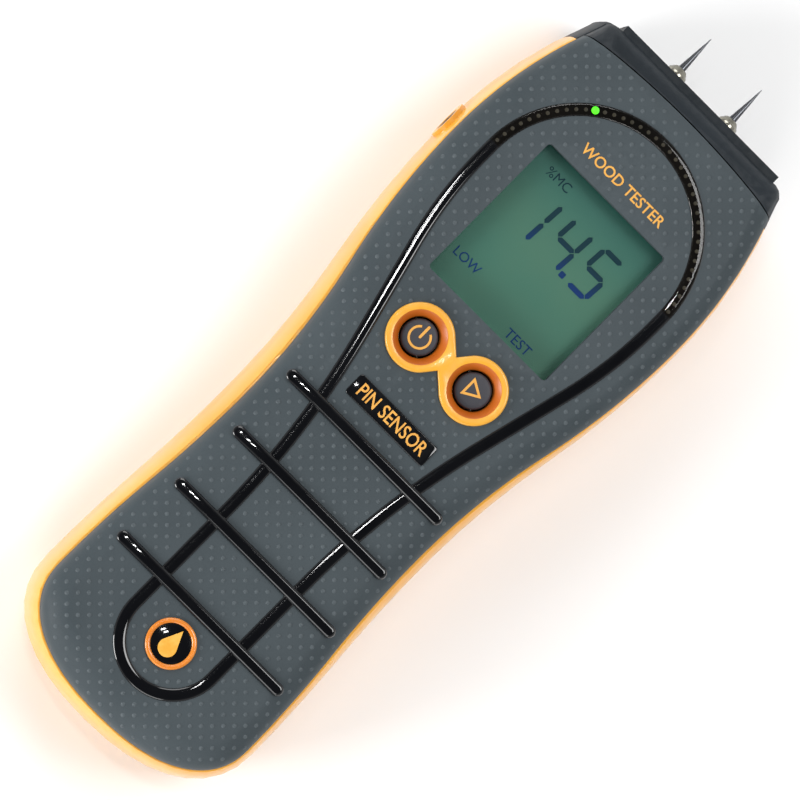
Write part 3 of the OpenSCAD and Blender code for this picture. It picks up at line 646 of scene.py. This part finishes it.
def trackPath():
    # the loop's outer edge, clockwise from its top
    right = arcPoints(0, trackY, track["radius"], 90, 0, track["topSteps"])
    for i in range(1, track["legSteps"]):
        y = trackY + (trackLowY - trackY) * i / track["legSteps"]
        right.append((trackHalf(y), y))
    right += arcPoints(0, trackLowY, track["lowRadius"], 0, -90, track["lowSteps"])
    return right + [(-x, y) for x, y in reversed(right[1:-1])]


def sweepSections(path, proud):
    width, sink = track["width"], track["sink"]
    rings = []
    for i, (x, y) in enumerate(path):
        before, after = path[max(i - 1, 0)], path[min(i + 1, len(path) - 1)]
        along = Vector((after[0] - before[0], after[1] - before[1])).normalized()
        inward = Vector((along.y, -along.x))
        section = [(0.0, -sink)]
        for k in range(track["sides"]):
            a = pi * k / (track["sides"] - 1)
            section.append((width * (1 - cos(a)) / 2, proud * sin(a) ** 0.75))
        section.append((width, -sink))
        ring = []
        for u, h in section:
            px, py = x + inward.x * u, y + inward.y * u
            ring.append((px, py, crown(px) + h))
        rings.append(ring)
    return rings


loop = trackPath()
leftTop = [p for p in loop if p[0] < 0 and p[1] >= windowEndY]
rightTop = [p for p in loop if p[0] >= 0 and p[1] >= windowEndY]
arc = leftTop + rightTop
lower = [rightTop[-1]] + [p for p in loop if p[1] < windowEndY] + [leftTop[0]]


def buildBead(path, name, label, replaced, proud):
    bm = ringLoft(sweepSections(path, proud), True, True)[0]
    fixNormals(bm)
    makePiece(bm, name, [label], "meter", replaced, 50)


buildBead(lower, "trackBead", "blackGloss", ["track_inlay"], track["proud"])
buildBead(arc, "lightWindow", "smokedLens", ["light_window"], track["proud"])
# painted shade: a thin black bed under the smoked window, for the shaded hollow beneath it
buildBead(arc, "lightBed", "blackGloss", [], track["bed"])

lights = {
    "pitch": 2.0,
    "size": 0.5,
    "lit": (-15.5, 67.4),
    "litSize": 1.9,
    "height": 0.1,
    "taper": 0.7,
}


def buildLights():
    # the row of lamps seen through the smoked window
    midR = track["radius"] - track["width"] / 2
    step = lights["pitch"] / midR
    count = int(pi / 2 / step)
    litBm, darkBm = bmesh.new(), bmesh.new()
    for i in range(-count, count + 1):
        a = pi / 2 - i * step
        x, y = midR * cos(a), trackY + midR * sin(a)
        near = hypot(x - lights["lit"][0], y - lights["lit"][1]) < lights["pitch"] * 0.5
        size = lights["size"] * (lights["litSize"] if near else 1.0)
        place = Matrix.Translation((x, y, crown(x) + track["bed"])) @ Matrix.Rotation(a, 4, "Z")
        bmesh.ops.create_cone(litBm if near else darkBm, segments=16, cap_ends=True, radius1=size,
                              radius2=size * lights["taper"], depth=lights["height"], matrix=place)
    makePiece(darkBm, "lightDots", ["ledClear"], "meter")
    makePiece(litBm, "litDot", ["ledLit"], "meter")


buildLights()
print("track ready")


# grip bars, name plate and badge
bars = {
    "pitch": 16.05,
    "fromTail": 31.5,
    "width": 2.8,
    "lengths": (47.5, 45.9, 44.0, 44.6),
    "proud": 0.9,
    "edge": 0.8,
    "sink": 0.3,
    "slopeReach": 8.0,  # the left end slopes down over this length
    "slopeDrop": 0.55,
}
slopeCuts = 8  # cuts that share out a pad's slope


def buildPad(name, points, ringPlan, label, replaced, slope=None, angle=35):
    # points(inset) gives the outline, and ringPlan holds each ring's height over the face and inset
    # slope is the left end, how far the slope reaches from it and how much it drops
    rings = [[(x, y, h) for x, y in points(inset)] for h, inset in ringPlan]
    bm = ringLoft(rings, True, True)[0]
    if slope:
        end, reach, drop = slope
        for cut in range(1, slopeCuts + 1):
            cutAcross(bm, wholeOf(bm), end + reach * cut / slopeCuts)
        for v in bm.verts:
            t = min(max(1 - (v.co.x - end) / reach, 0), 1)
            if v.co.z > 0:
                v.co.z -= drop * t * t * v.co.z / ringPlan[-1][0]
    bendToCrown(bm)
    fixNormals(bm)
    makePiece(bm, name, [label], "meter", replaced, angle)


def roundedPlan(proud, edge, sink, steps=4):
    plan = [(-sink, 0.0), (proud - edge, 0.0)]
    for i in range(1, steps + 1):
        a = radians(90 * i / steps)
        plan.append((proud - edge + edge * sin(a), edge * (1 - cos(a))))
    return plan


for i, length in enumerate(bars["lengths"]):
    y = tailEnd + bars["fromTail"] + i * bars["pitch"]
    buildPad("gripBar%d" % (i + 1),
             lambda inset: roundedRect(length - 2 * inset, bars["width"] - 2 * inset,
                                       bars["width"] / 2 - inset - 0.001, 0, y, 6),
             roundedPlan(bars["proud"], bars["edge"], bars["sink"], 5), "blackGloss",
             ["grip_bar_%d" % (i + 1)], (-length / 2, bars["slopeReach"], bars["slopeDrop"]), 60)

plate = {
    "w": 22.3,
    "h": 5.2,
    "radius": 0.7,
    "proud": 0.3,
    "edge": 0.2,
    "sink": 0.3,
    "slopeReach": 2.0,
    "slopeDrop": 0.12,
    "text": "PIN SENSOR",
    "textH": 3.0,
    "textWide": 0.81,
}
plateY = middle("name_plate").y
buildPad("namePlate", lambda inset: roundedRect(plate["w"] - 2 * inset, plate["h"] - 2 * inset,
                                                plate["radius"] - inset, 0, plateY),
         roundedPlan(plate["proud"], plate["edge"], plate["sink"], 3), "blackGloss",
         ["name_plate"], (-plate["w"] / 2, plate["slopeReach"], plate["slopeDrop"]))

badge = {
    "radius": 5.4,
    "ring": 1.1,
    "proud": 0.7,
    "faceProud": 0.3,
    "dome": 0.35,
    "sink": 0.3,
    "lap": 0.2,  # how far the face runs under the ring
    "ringSink": 0.1,
    "ringSides": 12,
    "ringSteps": 72,
    "dropletRadius": 2.0,
    "dropletTip": 2.35,
    "dropletY": -1.1,
    "dropletProud": 0.06,
    "dropletSunk": 0.12,
}
badgeY = middle("badge_ring").y


def domePlan(rim, dome, radius, sink, steps=6):
    # a shallow dome: heights and insets from its rim to near its middle
    plan = [(-sink, 0.0), (rim, 0.0)]
    for i in range(1, steps + 1):
        r = radius * (1 - i / (steps + 0.5))
        plan.append((rim + dome * (1 - (r / radius) ** 2), radius - r))
    return plan


badgeFaceR = badge["radius"] - badge["ring"] + badge["lap"]
buildPad("badgeFace", lambda inset: arcPoints(0, badgeY, badgeFaceR - inset, 0, 360, 64)[:-1],
         domePlan(badge["faceProud"], badge["dome"], badgeFaceR, badge["sink"]), "blackGloss",
         ["badge_face"])


def buildRing(name, outer, inner, y, proud, label, replaced):
    # a rounded ring lying on the face
    sides, count = badge["ringSides"], badge["ringSteps"]
    mid, half = (outer + inner) / 2, (outer - inner) / 2
    rings = []
    for i in range(count):
        a = 2 * pi * i / count
        ring = []
        for k in range(sides):
            b = 2 * pi * k / sides
            r = mid + half * cos(b)
            x = r * cos(a)
            lift = proud * (0.5 + 0.5 * sin(b)) - badge["ringSink"] * (sin(b) < 0)
            ring.append((x, y + r * sin(a), crown(x) + lift))
        rings.append(ring)
    bm = ringLoft(rings, joinEnds=True)[0]
    fixNormals(bm)
    makePiece(bm, name, [label], "meter", replaced, 60)


buildRing("badgeRing", badge["radius"], badge["radius"] - badge["ring"], badgeY, badge["proud"], "badgeAmber",
          ["badge_ring"])
print("bars, plate and badge ready")


# key bezel
bezel = {
    "radius": 7.3,
    "rim": 5.8,
    "throat": 4.35,
    "neck": 4.7,
    "leastNeck": 0.4,  # half of the neck's straight part is at least this long
    "proud": 0.8,
    "edge": 0.45,
    "sink": 0.6,
    "slope": 2.2,
    "bottom": 29.4,
    "thickness": 0.5,
    "ringSteps": 54,
    "neckSteps": 6,
}


def bezelOutline(inset):
    # two rings joined by a neck that flares at 45 degrees
    r = bezel["radius"] - inset
    neck = bezel["neck"] / 2 - inset
    tangentX = keyX - r * sin(radians(45))
    tangentY = r * cos(radians(45))
    flat = max(tangentX - (tangentY - neck), bezel["leastNeck"])
    points = arcPoints(keyX, 0, r, -135, 135, bezel["ringSteps"])
    for i in range(1, bezel["neckSteps"] + 1):
        t = i / bezel["neckSteps"]
        points.append((tangentX + (flat - tangentX) * t, tangentY + (neck - tangentY) * t))
    return [(x, keyY + y) for x, y in points] + [(-x, keyY - y) for x, y in points]


def buildBezel():
    plan = roundedPlan(bezel["proud"], bezel["edge"], bezel["sink"])
    rings = [[(x, y, faceZ + h) for x, y in bezelOutline(inset)] for h, inset in plan]
    bm, edges = ringLoft(rings)
    topZ = faceZ + bezel["proud"]
    holes = [circleLoop(bm, side * keyX, keyY, topZ, bezel["rim"], 64) for side in (-1, 1)]
    bmesh.ops.triangle_fill(bm, edges=edges + holes[0] + holes[1], use_beauty=True, normal=(0, 0, 1))
    # from the rim's broken edge down the slope to its rounded foot and the throat
    slopeEnd = topZ - bezel["slope"]
    steps = ((bezel["rim"] - 0.12, topZ - 0.06), (bezel["throat"] + 0.15, slopeEnd + 0.2),
             (bezel["throat"], slopeEnd - 0.05), (bezel["throat"], bezel["bottom"]))
    for side, current in zip((-1, 1), holes):
        centre = Vector((side * keyX, keyY, 0))
        for r, z in steps:
            grown = bmesh.ops.extrude_edge_only(bm, edges=current)["geom"]
            for v in vertsOf(grown):
                v.co = centre + (Vector((v.co.x, v.co.y, 0)) - centre).normalized() * r
                v.co.z = z
            current = [e for e in edgesOf(grown) if all(abs(v.co.z - z) < 1e-5 for v in e.verts)]
            # the slope's faces take the second finish, the bezel amber darkened as painted shade
            for f in {f for e in current for f in e.link_faces}:
                f.material_index = 1
    bmesh.ops.recalc_face_normals(bm, faces=bm.faces)
    top = max(bm.faces, key=lambda f: f.calc_center_median().z)
    if top.normal.z < 0:
        bmesh.ops.reverse_faces(bm, faces=bm.faces)
    bmesh.ops.solidify(bm, geom=bm.faces[:], thickness=bezel["thickness"])
    makePiece(bm, "keyBezel", ["amberBezel", "amberSlopePaintedShade"], "meter", ["key_bezel"], 40)


buildBezel()

# keys
keys = {
    "radius": 3.9,
    "top": 32.4,
    "bottom": 29.0,
    "edge": 0.55,
    "dome": 0.12,
    "topSteps": 5,
    "edgeSteps": 4,
}


def buildKey(name, side, rides, node):
    profile = [(0.0, keys["top"])]
    for i in range(1, keys["topSteps"] + 1):
        r = (keys["radius"] - keys["edge"]) * i / keys["topSteps"]
        profile.append((r, keys["top"] - keys["dome"] * (r / keys["radius"]) ** 2))
    for i in range(1, keys["edgeSteps"] + 1):
        a = radians(90 * i / keys["edgeSteps"])
        profile.append((keys["radius"] - keys["edge"] * (1 - sin(a)),
                        keys["top"] - keys["dome"] - keys["edge"] * (1 - cos(a))))
    profile += [(keys["radius"], keys["bottom"]), (0.0, keys["bottom"])]
    bm = spinProfile(profile, side * keyX, keyY)
    makePiece(bm, name, ["keyRubber"], rides, [node], 40)


def spinProfile(profile, x, y, count=64):
    # (radius, height) points turned about an upright axis at x, y
    bm = bmesh.new()
    verts = [bm.verts.new((r, 0, z)) for r, z in profile]
    for a, b in zip(verts, verts[1:]):
        bm.edges.new((a, b))
    bmesh.ops.spin(bm, geom=bm.verts[:] + bm.edges[:], cent=(0, 0, 0), axis=(0, 0, 1),
                   angle=2 * pi, steps=count, use_merge=True)
    fixNormals(bm)
    bmesh.ops.translate(bm, vec=(x, y, 0), verts=bm.verts)
    return bm


buildKey("powerKey", -1, "power_key", "power_key")
buildKey("selectKey", 1, "select_key", "select_key")
print("keys ready")


# printed symbols and words
def thinPlate(outline, holes, bottom, thickness, followFace=False):
    bm = bmesh.new()
    edges = loopEdges(bm, [(x, y, 0) for x, y in outline])
    for hole in holes:
        edges += loopEdges(bm, [(x, y, 0) for x, y in hole])
    bmesh.ops.triangle_fill(bm, edges=edges, use_beauty=True, normal=(0, 0, 1))
    bmesh.ops.recalc_face_normals(bm, faces=bm.faces)
    for f in bm.faces:
        if f.normal.z < 0:
            f.normal_flip()
    if followFace:
        bendToCrown(bm, bottom)
    else:
        bmesh.ops.translate(bm, vec=(0, 0, bottom), verts=bm.verts)
    grown = bmesh.ops.extrude_face_region(bm, geom=bm.faces[:], use_keep_orig=True)["geom"]
    bmesh.ops.translate(bm, vec=(0, 0, thickness), verts=vertsOf(grown))
    bmesh.ops.recalc_face_normals(bm, faces=bm.faces)
    return bm


symbols = {
    "ring": 2.55,
    "stroke": 0.5,
    "gap": 32,  # half of the opening in the ring, in degrees
    "ringSteps": 48,
    "barLen": 3.3,
    "barW": 0.58,
    "barAbove": 0.55,  # how far the bar's top stands above the ring
    "triangle": 2.65,
    "inner": 1.6,
    "triangleShift": -0.35,
    "sunk": 0.03,
    "thickness": 0.08,
}
symbolZ = keys["top"] - symbols["sunk"]


def joinInto(target, source):
    mesh = bpy.data.meshes.new("part")
    source.to_mesh(mesh)
    source.free()
    target.from_mesh(mesh)
    bpy.data.meshes.remove(mesh)


def buildPowerSymbol():
    cx, thick, gap = -keyX, symbols["thickness"], symbols["gap"]
    outer, inner = [arcPoints(cx, keyY, r, 90 + gap, 450 - gap, symbols["ringSteps"])
                    for r in (symbols["ring"], symbols["ring"] - symbols["stroke"])]
    bm = thinPlate(outer + inner[::-1], [], symbolZ, thick)
    barY = keyY + symbols["ring"] + symbols["barAbove"] - symbols["barLen"] / 2
    bar = roundedRect(symbols["barW"], symbols["barLen"], symbols["barW"] / 2 - 0.01, cx, barY, 4)
    joinInto(bm, thinPlate(bar, [], symbolZ, thick))
    makePiece(bm, "powerSymbol", ["amberInk"], "power_key")


def buildSelectSymbol():
    cx = keyX + symbols["triangleShift"]
    outer, inner = [arcPoints(cx, keyY, symbols[size], 0, 360, 3)[:-1] for size in ("triangle", "inner")]
    bm = thinPlate(outer, [inner], symbolZ, symbols["thickness"])
    makePiece(bm, "selectSymbol", ["amberInk"], "select_key")


buildPowerSymbol()
buildSelectSymbol()


capitalShare = 0.7  # a capital's height as a share of the font's size


def textBmesh(label, height, x, y, extrude=0.03, wide=1.0, bold=0.0):
    curve = bpy.data.curves.new("words", "FONT")
    curve.body = label
    curve.size = height / capitalShare
    curve.align_x = "CENTER"
    curve.align_y = "CENTER"
    curve.resolution_u = 3
    curve.extrude = extrude
    curve.offset = bold
    holder = bpy.data.objects.new("words", curve)
    bpy.context.scene.collection.objects.link(holder)
    bpy.context.view_layer.update()
    mesh = bpy.data.meshes.new_from_object(holder)
    bpy.data.objects.remove(holder)
    bpy.data.curves.remove(curve)
    bm = bmesh.new()
    bm.from_mesh(mesh)
    bpy.data.meshes.remove(mesh)
    bmesh.ops.remove_doubles(bm, verts=bm.verts, dist=1e-4)
    bmesh.ops.scale(bm, vec=(wide, 1, 1), verts=bm.verts)
    bmesh.ops.translate(bm, vec=(x, y, 0), verts=bm.verts)
    return bm


words = {
    "top": "WOOD TESTER",
    "y": 59.9,
    "height": 2.35,
    "wide": 0.98,
    "lift": 0.02,
    "bold": 0.045,
    "reach": 16,  # half of the width that the face's curve is cut over
}


def faceWords(name, label, height, y, wide, lift):
    bm = textBmesh(label, height, 0, y, wide=wide, bold=words["bold"])
    bendToCrown(bm, lift, words["reach"])
    makePiece(bm, name, ["amberInk"], "meter")


faceWords("faceWords", words["top"], words["height"], words["y"], words["wide"], words["lift"])
faceWords("plateWords", plate["text"], plate["textH"], plateY, plate["textWide"], plate["proud"])


def buildDroplet():
    y, r = badgeY + badge["dropletY"], badge["dropletRadius"]
    points = arcPoints(0, y, r, -210, 30, 39) + [(0, y + r * badge["dropletTip"])]
    bottom = badge["faceProud"] + badge["dome"] - badge["dropletSunk"]
    bm = thinPlate(points, [], bottom, badge["dropletSunk"] + badge["dropletProud"], True)
    makePiece(bm, "badgeDroplet", ["amberBezel"], "meter")


buildDroplet()

# display: seven-segment figures and small words on the panel
lcd = {
    "edge": 0.15,
    "corner": 0.6,
    "shear": 0.07,
    "stroke": 1.15,
    "height": 10.4,
    "width": 4.9,
    "gap": 0.12,
    "shiftX": 0.34,
    "shiftY": 0.34,
    "baseY": 0.1,  # the figures' foot, from the middle of the display
    "dot": 1.3,
    "dotX": 4.0,
    "dotY": 0.3,
    "lift": 0.02,
    "thickness": 0.05,
    "figures": ((-11.1, "bc"), (-2.2, "fgbc"), (6.3, "afgcd")),
    "labels": (("LOW", 2.1, -12.2, 26.1), ("TEST", 2.2, 7.3, 21.5), ("%MC", 2.1, -10.3, 51.4)),
}


def buildLcd():
    # one full glass, so that no step shows at the window's lower edge
    lowest, highest = low("lcd_panel"), high("lcd_panel")
    w, h = highest.x - lowest.x, highest.y - lowest.y
    edge = lcd["edge"]
    rings = [[(x, y, z) for x, y in roundedRect(w - 2 * inset, h - 2 * inset, lcd["corner"] - inset, 0,
                                                displayY, 4)]
             for z, inset in ((lowest.z, 0.0), (highest.z - edge, 0.0), (highest.z, edge))]
    bm = ringLoft(rings, True, True)[0]
    fixNormals(bm)
    makePiece(bm, "lcdGlass", ["lcdGlass"], "meter", ["lcd_panel"])


buildLcd()


def segment(x0, y0, x1, y1, w):
    # a bar with pointed ends from one corner to another
    along = Vector((x1 - x0, y1 - y0)).normalized()
    side = Vector((-along.y, along.x))
    a, b = Vector((x0, y0)) + along * lcd["gap"], Vector((x1, y1)) - along * lcd["gap"]
    h = w / 2
    return [tuple(p) for p in (a, a + along * h - side * h, b - along * h - side * h, b,
                               b - along * h + side * h, a + along * h + side * h)]


def buildFigures():
    bm = bmesh.new()
    w, h, z, thick = lcd["width"], lcd["height"], high("lcd_panel").z + lcd["lift"], lcd["thickness"]
    strokes = {"a": (0, 1, 1, 1), "b": (1, 1, 1, 0.5), "c": (1, 0.5, 1, 0), "d": (0, 0, 1, 0),
               "f": (0, 1, 0, 0.5), "g": (0, 0.5, 1, 0.5)}
    baseY = displayY + lcd["shiftY"] + lcd["baseY"]
    for left, parts in lcd["figures"]:
        for key in parts:
            x0, y0, x1, y1 = strokes[key]
            points = segment(left + x0 * w, y0 * h, left + x1 * w, y1 * h, lcd["stroke"])
            points = [(x + lcd["shiftX"] + lcd["shear"] * (y - h / 2), baseY + y) for x, y in points]
            joinInto(bm, thinPlate(points, [], z, thick))
    dot = roundedRect(lcd["dot"], lcd["dot"], 0.2, lcd["dotX"] + lcd["shiftX"], baseY + lcd["dotY"], 3)
    joinInto(bm, thinPlate(dot, [], z, thick))
    for label, height, x, y in lcd["labels"]:
        printed = textBmesh(label, height, x + lcd["shiftX"], y + lcd["shiftY"], thick / 2)
        bmesh.ops.translate(printed, vec=(0, 0, z + lcd["lift"]), verts=printed.verts)
        joinInto(bm, printed)
    makePiece(bm, "lcdFigures", ["lcdInk"], "meter")


buildFigures()
print("prints ready")

# grip dots over the face
dots = {
    "pitch": 2.3,
    "turn": 45.0,
    "radius": 0.52,
    "crest": 0.26,
    "height": 0.18,
    "sunk": 0.03,
    "shiftX": 0.55,
    "shiftY": 0.3,
    "fields": (34, 96),  # half sizes of the area that is searched
    "words": (12.5, 2.2),  # half sizes of the area that the words need
    "lowest": 27,
    "steepest": 0.3,  # least upward part of the face's normal
    "margin": 0.6,  # the face has to go on this far round a dot
    "fall": 1.2,  # and fall or rise no more than this
}
rayTop = 50
down = Vector((0, 0, -1))


def faceTree(names):
    # a search tree over finished pieces, in millimetres
    bm = bmesh.new()
    for name in names:
        bm.from_mesh(bpy.data.objects[name].data)
    bmesh.ops.scale(bm, vec=(1 / mm, 1 / mm, 1 / mm), verts=bm.verts)
    tree = BVHTree.FromBMesh(bm)
    bm.free()
    return tree


def clearOfPieces(covers, x, y):
    r = dots["radius"]
    return all(covers.ray_cast(Vector((x + dx, y + dy, rayTop)), down)[0] is None
               for dx, dy in ((0, 0), (r, 0), (-r, 0), (0, r), (0, -r)))


def buildDots():
    face = faceTree(["frontShell"])
    covers = faceTree(["trackBead", "lightWindow", "keyBezel", "namePlate", "badgeRing", "badgeFace"]
                      + ["gripBar%d" % (i + 1) for i in range(4)])
    turn = Matrix.Rotation(radians(dots["turn"]), 2)
    reach = int(hypot(*dots["fields"]) / dots["pitch"]) + 3
    bm = bmesh.new()
    for i in range(-reach, reach + 1):
        for j in range(-reach, reach + 1):
            x, y = turn @ Vector((i * dots["pitch"] + dots["shiftX"], j * dots["pitch"] + dots["shiftY"]))
            if abs(x) > dots["fields"][0] or abs(y) > dots["fields"][1]:
                continue
            spot, normal = face.ray_cast(Vector((x, y, rayTop)), down)[:2]
            onWords = abs(x) < dots["words"][0] and abs(y - words["y"]) < dots["words"][1]
            if spot is None or normal.z < dots["steepest"] or spot.z < dots["lowest"] or onWords:
                continue
            m = dots["margin"]
            ring = [face.ray_cast(Vector((x + dx, y + dy, rayTop)), down)[0]
                    for dx, dy in ((m, 0), (-m, 0), (0, m), (0, -m))]
            if any(r is None or abs(r.z - spot.z) > dots["fall"] for r in ring) \
                    or not clearOfPieces(covers, x, y):
                continue
            lift = dots["height"] / 2 - dots["sunk"]
            upright = normal.to_track_quat("Z", "Y").to_matrix().to_4x4()
            place = Matrix.Translation(spot + normal * lift) @ upright
            bmesh.ops.create_cone(bm, segments=8, cap_ends=True, radius1=dots["radius"],
                                  radius2=dots["crest"], depth=dots["height"], matrix=place)
    print("grip dots:", len(bm.faces) // 10)
    # the dots take the lighter grey, a painted highlight
    makePiece(bm, "gripDots", ["greyDotsPaintedLight"], "meter", angle=80)


buildDots()
print("dots ready")

# collet nuts
# radii of a nut and the heights over its washer that they are at: its foot, flange, waist, tip and bore
nutProfile = ((0.98, 0), (2.23, 0), (2.35, 0.12), (2.35, 0.75), (2.21, 0.95), (2.0, 1.15), (1.75, 1.5),
              (1.5, 1.8), (1.25, 1.97), (1.13, 2.0), (0.98, 2.0), (0.98, 0))


def buildNut(side):
    base = high("nut_washer_" + side).y
    needle = middle("needle_" + side)
    bm = spinProfile([(r, base + h) for r, h in nutProfile], 0, 0, 48)
    bmesh.ops.rotate(bm, cent=(0, 0, 0), matrix=Matrix.Rotation(radians(-90), 3, "X"), verts=bm.verts)
    bmesh.ops.translate(bm, vec=(needle.x, 0, needle.z), verts=bm.verts)
    makePiece(bm, "colletNut_" + side, ["nutNickelPaintedDark"], "collet_nut_" + side,
              ["collet_nut_" + side], 40)


for side in ("left", "right"):
    buildNut(side)
print("nuts ready")


# floor, light and camera
stage = {
    "tone": (0.93, 0.93, 0.93, 1),
    "roughness": 0.9,
    "size": 4.0,
    "drop": 0.0004,  # keeps the floor clear of the flat back
}


def floorMaterial():
    m = bpy.data.materials.new("floor")
    m.use_nodes = True
    s = m.node_tree.nodes["Principled BSDF"]
    s.inputs["Base Color"].default_value = stage["tone"]
    s.inputs["Roughness"].default_value = stage["roughness"]
    return m


floorBm = bmesh.new()
bmesh.ops.create_grid(floorBm, x_segments=1, y_segments=1, size=stage["size"],
                      matrix=Matrix.Translation((0, 0, -stage["drop"])))
floorMesh = bpy.data.meshes.new("floor")
floorBm.to_mesh(floorMesh)
floorBm.free()
floor = bpy.data.objects.new("floor", floorMesh)
floor.data.materials.append(floorMaterial())
bpy.context.scene.collection.objects.link(floor)

view = {
    "dir": (-0.08, -0.08, 1.0),
    "distance": 2.0,
    "lens": 436.0,
    "roll": 44.64,
    "target": (-1.44 * mm, -3.91 * mm, 30 * mm),
}


def viewAxes():
    d = Vector(view["dir"]).normalized()
    alongBody = (Vector((0, 1, 0)) - d * d.y).normalized()
    across = (-d).cross(alongBody)
    c, s = cos(radians(view["roll"])), sin(radians(view["roll"]))
    up = c * alongBody - s * across
    right = s * alongBody + c * across
    return d, right, up


backward, right, up = viewAxes()
cameraData = bpy.data.cameras.new("camera")
cameraData.lens = view["lens"]
cameraData.sensor_width = 36
cameraData.clip_end = 20
camera = bpy.data.objects.new("camera", cameraData)
camera.matrix_world = Matrix.Translation(Vector(view["target"]) + backward * view["distance"]) @ Matrix(
    (right, up, backward)).transposed().to_4x4()
bpy.context.scene.collection.objects.link(camera)
bpy.context.scene.camera = camera


def addLight(name, sideways, upward, towards, size, power):
    # placed by the camera's own right, up and backward directions, in metres
    data = bpy.data.lights.new(name, "AREA")
    data.size = size
    data.energy = power
    lamp = bpy.data.objects.new(name, data)
    where = right * sideways + up * upward + backward * towards
    lamp.location = where
    lamp.rotation_euler = where.to_track_quat("Z", "Y").to_euler()
    bpy.context.scene.collection.objects.link(lamp)
    return lamp


addLight("keyLight", -1.3, -0.2, 0.65, 0.6, 17)
addLight("fillLight", 1.2, 0.1, 1.5, 0.8, 18)
addLight("topLight", 0.25, 1.5, 1.1, 1.0, 13)
addLight("lowLight", -0.5, -1.4, 1.0, 1.0, 10)

# three narrow lamps that glint on the left ends of the bars
glints = {
    "leans": (-0.256, -0.163, -0.105),
    "across": 0.08,
    "away": 2.0,
    "size": 0.03,
    "length": 0.12,
    "power": 1.2,
}
for i, lean in enumerate(glints["leans"]):
    lamp = addLight("glintLight%d" % (i + 1), 0, 0, 1, glints["length"], glints["power"])
    lamp.data.shape = "RECTANGLE"
    lamp.data.size_y = glints["size"]
    where = Vector((lean, glints["across"], 1.0)).normalized() * glints["away"]
    lamp.location = where
    lamp.rotation_euler = where.to_track_quat("Z", "Y").to_euler()

# a studio that is dark overhead and pale towards the horizon
sky = {"overhead": 0.05, "horizon": 0.6}
world = bpy.data.worlds.new("studio")
world.use_nodes = True
tree = world.node_tree
direction = tree.nodes.new("ShaderNodeSeparateXYZ")
tree.links.new(tree.nodes.new("ShaderNodeTexCoord").outputs["Generated"], direction.inputs[0])
tree.links.new(addRange(tree, direction.outputs["Z"], 0.3, 0.95, sky["horizon"], sky["overhead"], True),
               tree.nodes["Background"].inputs["Strength"])
tree.nodes["Background"].inputs["Color"].default_value = (1, 1, 1, 1)
bpy.context.scene.world = world
bpy.context.scene.view_settings.view_transform = "Standard"
print("stage ready")
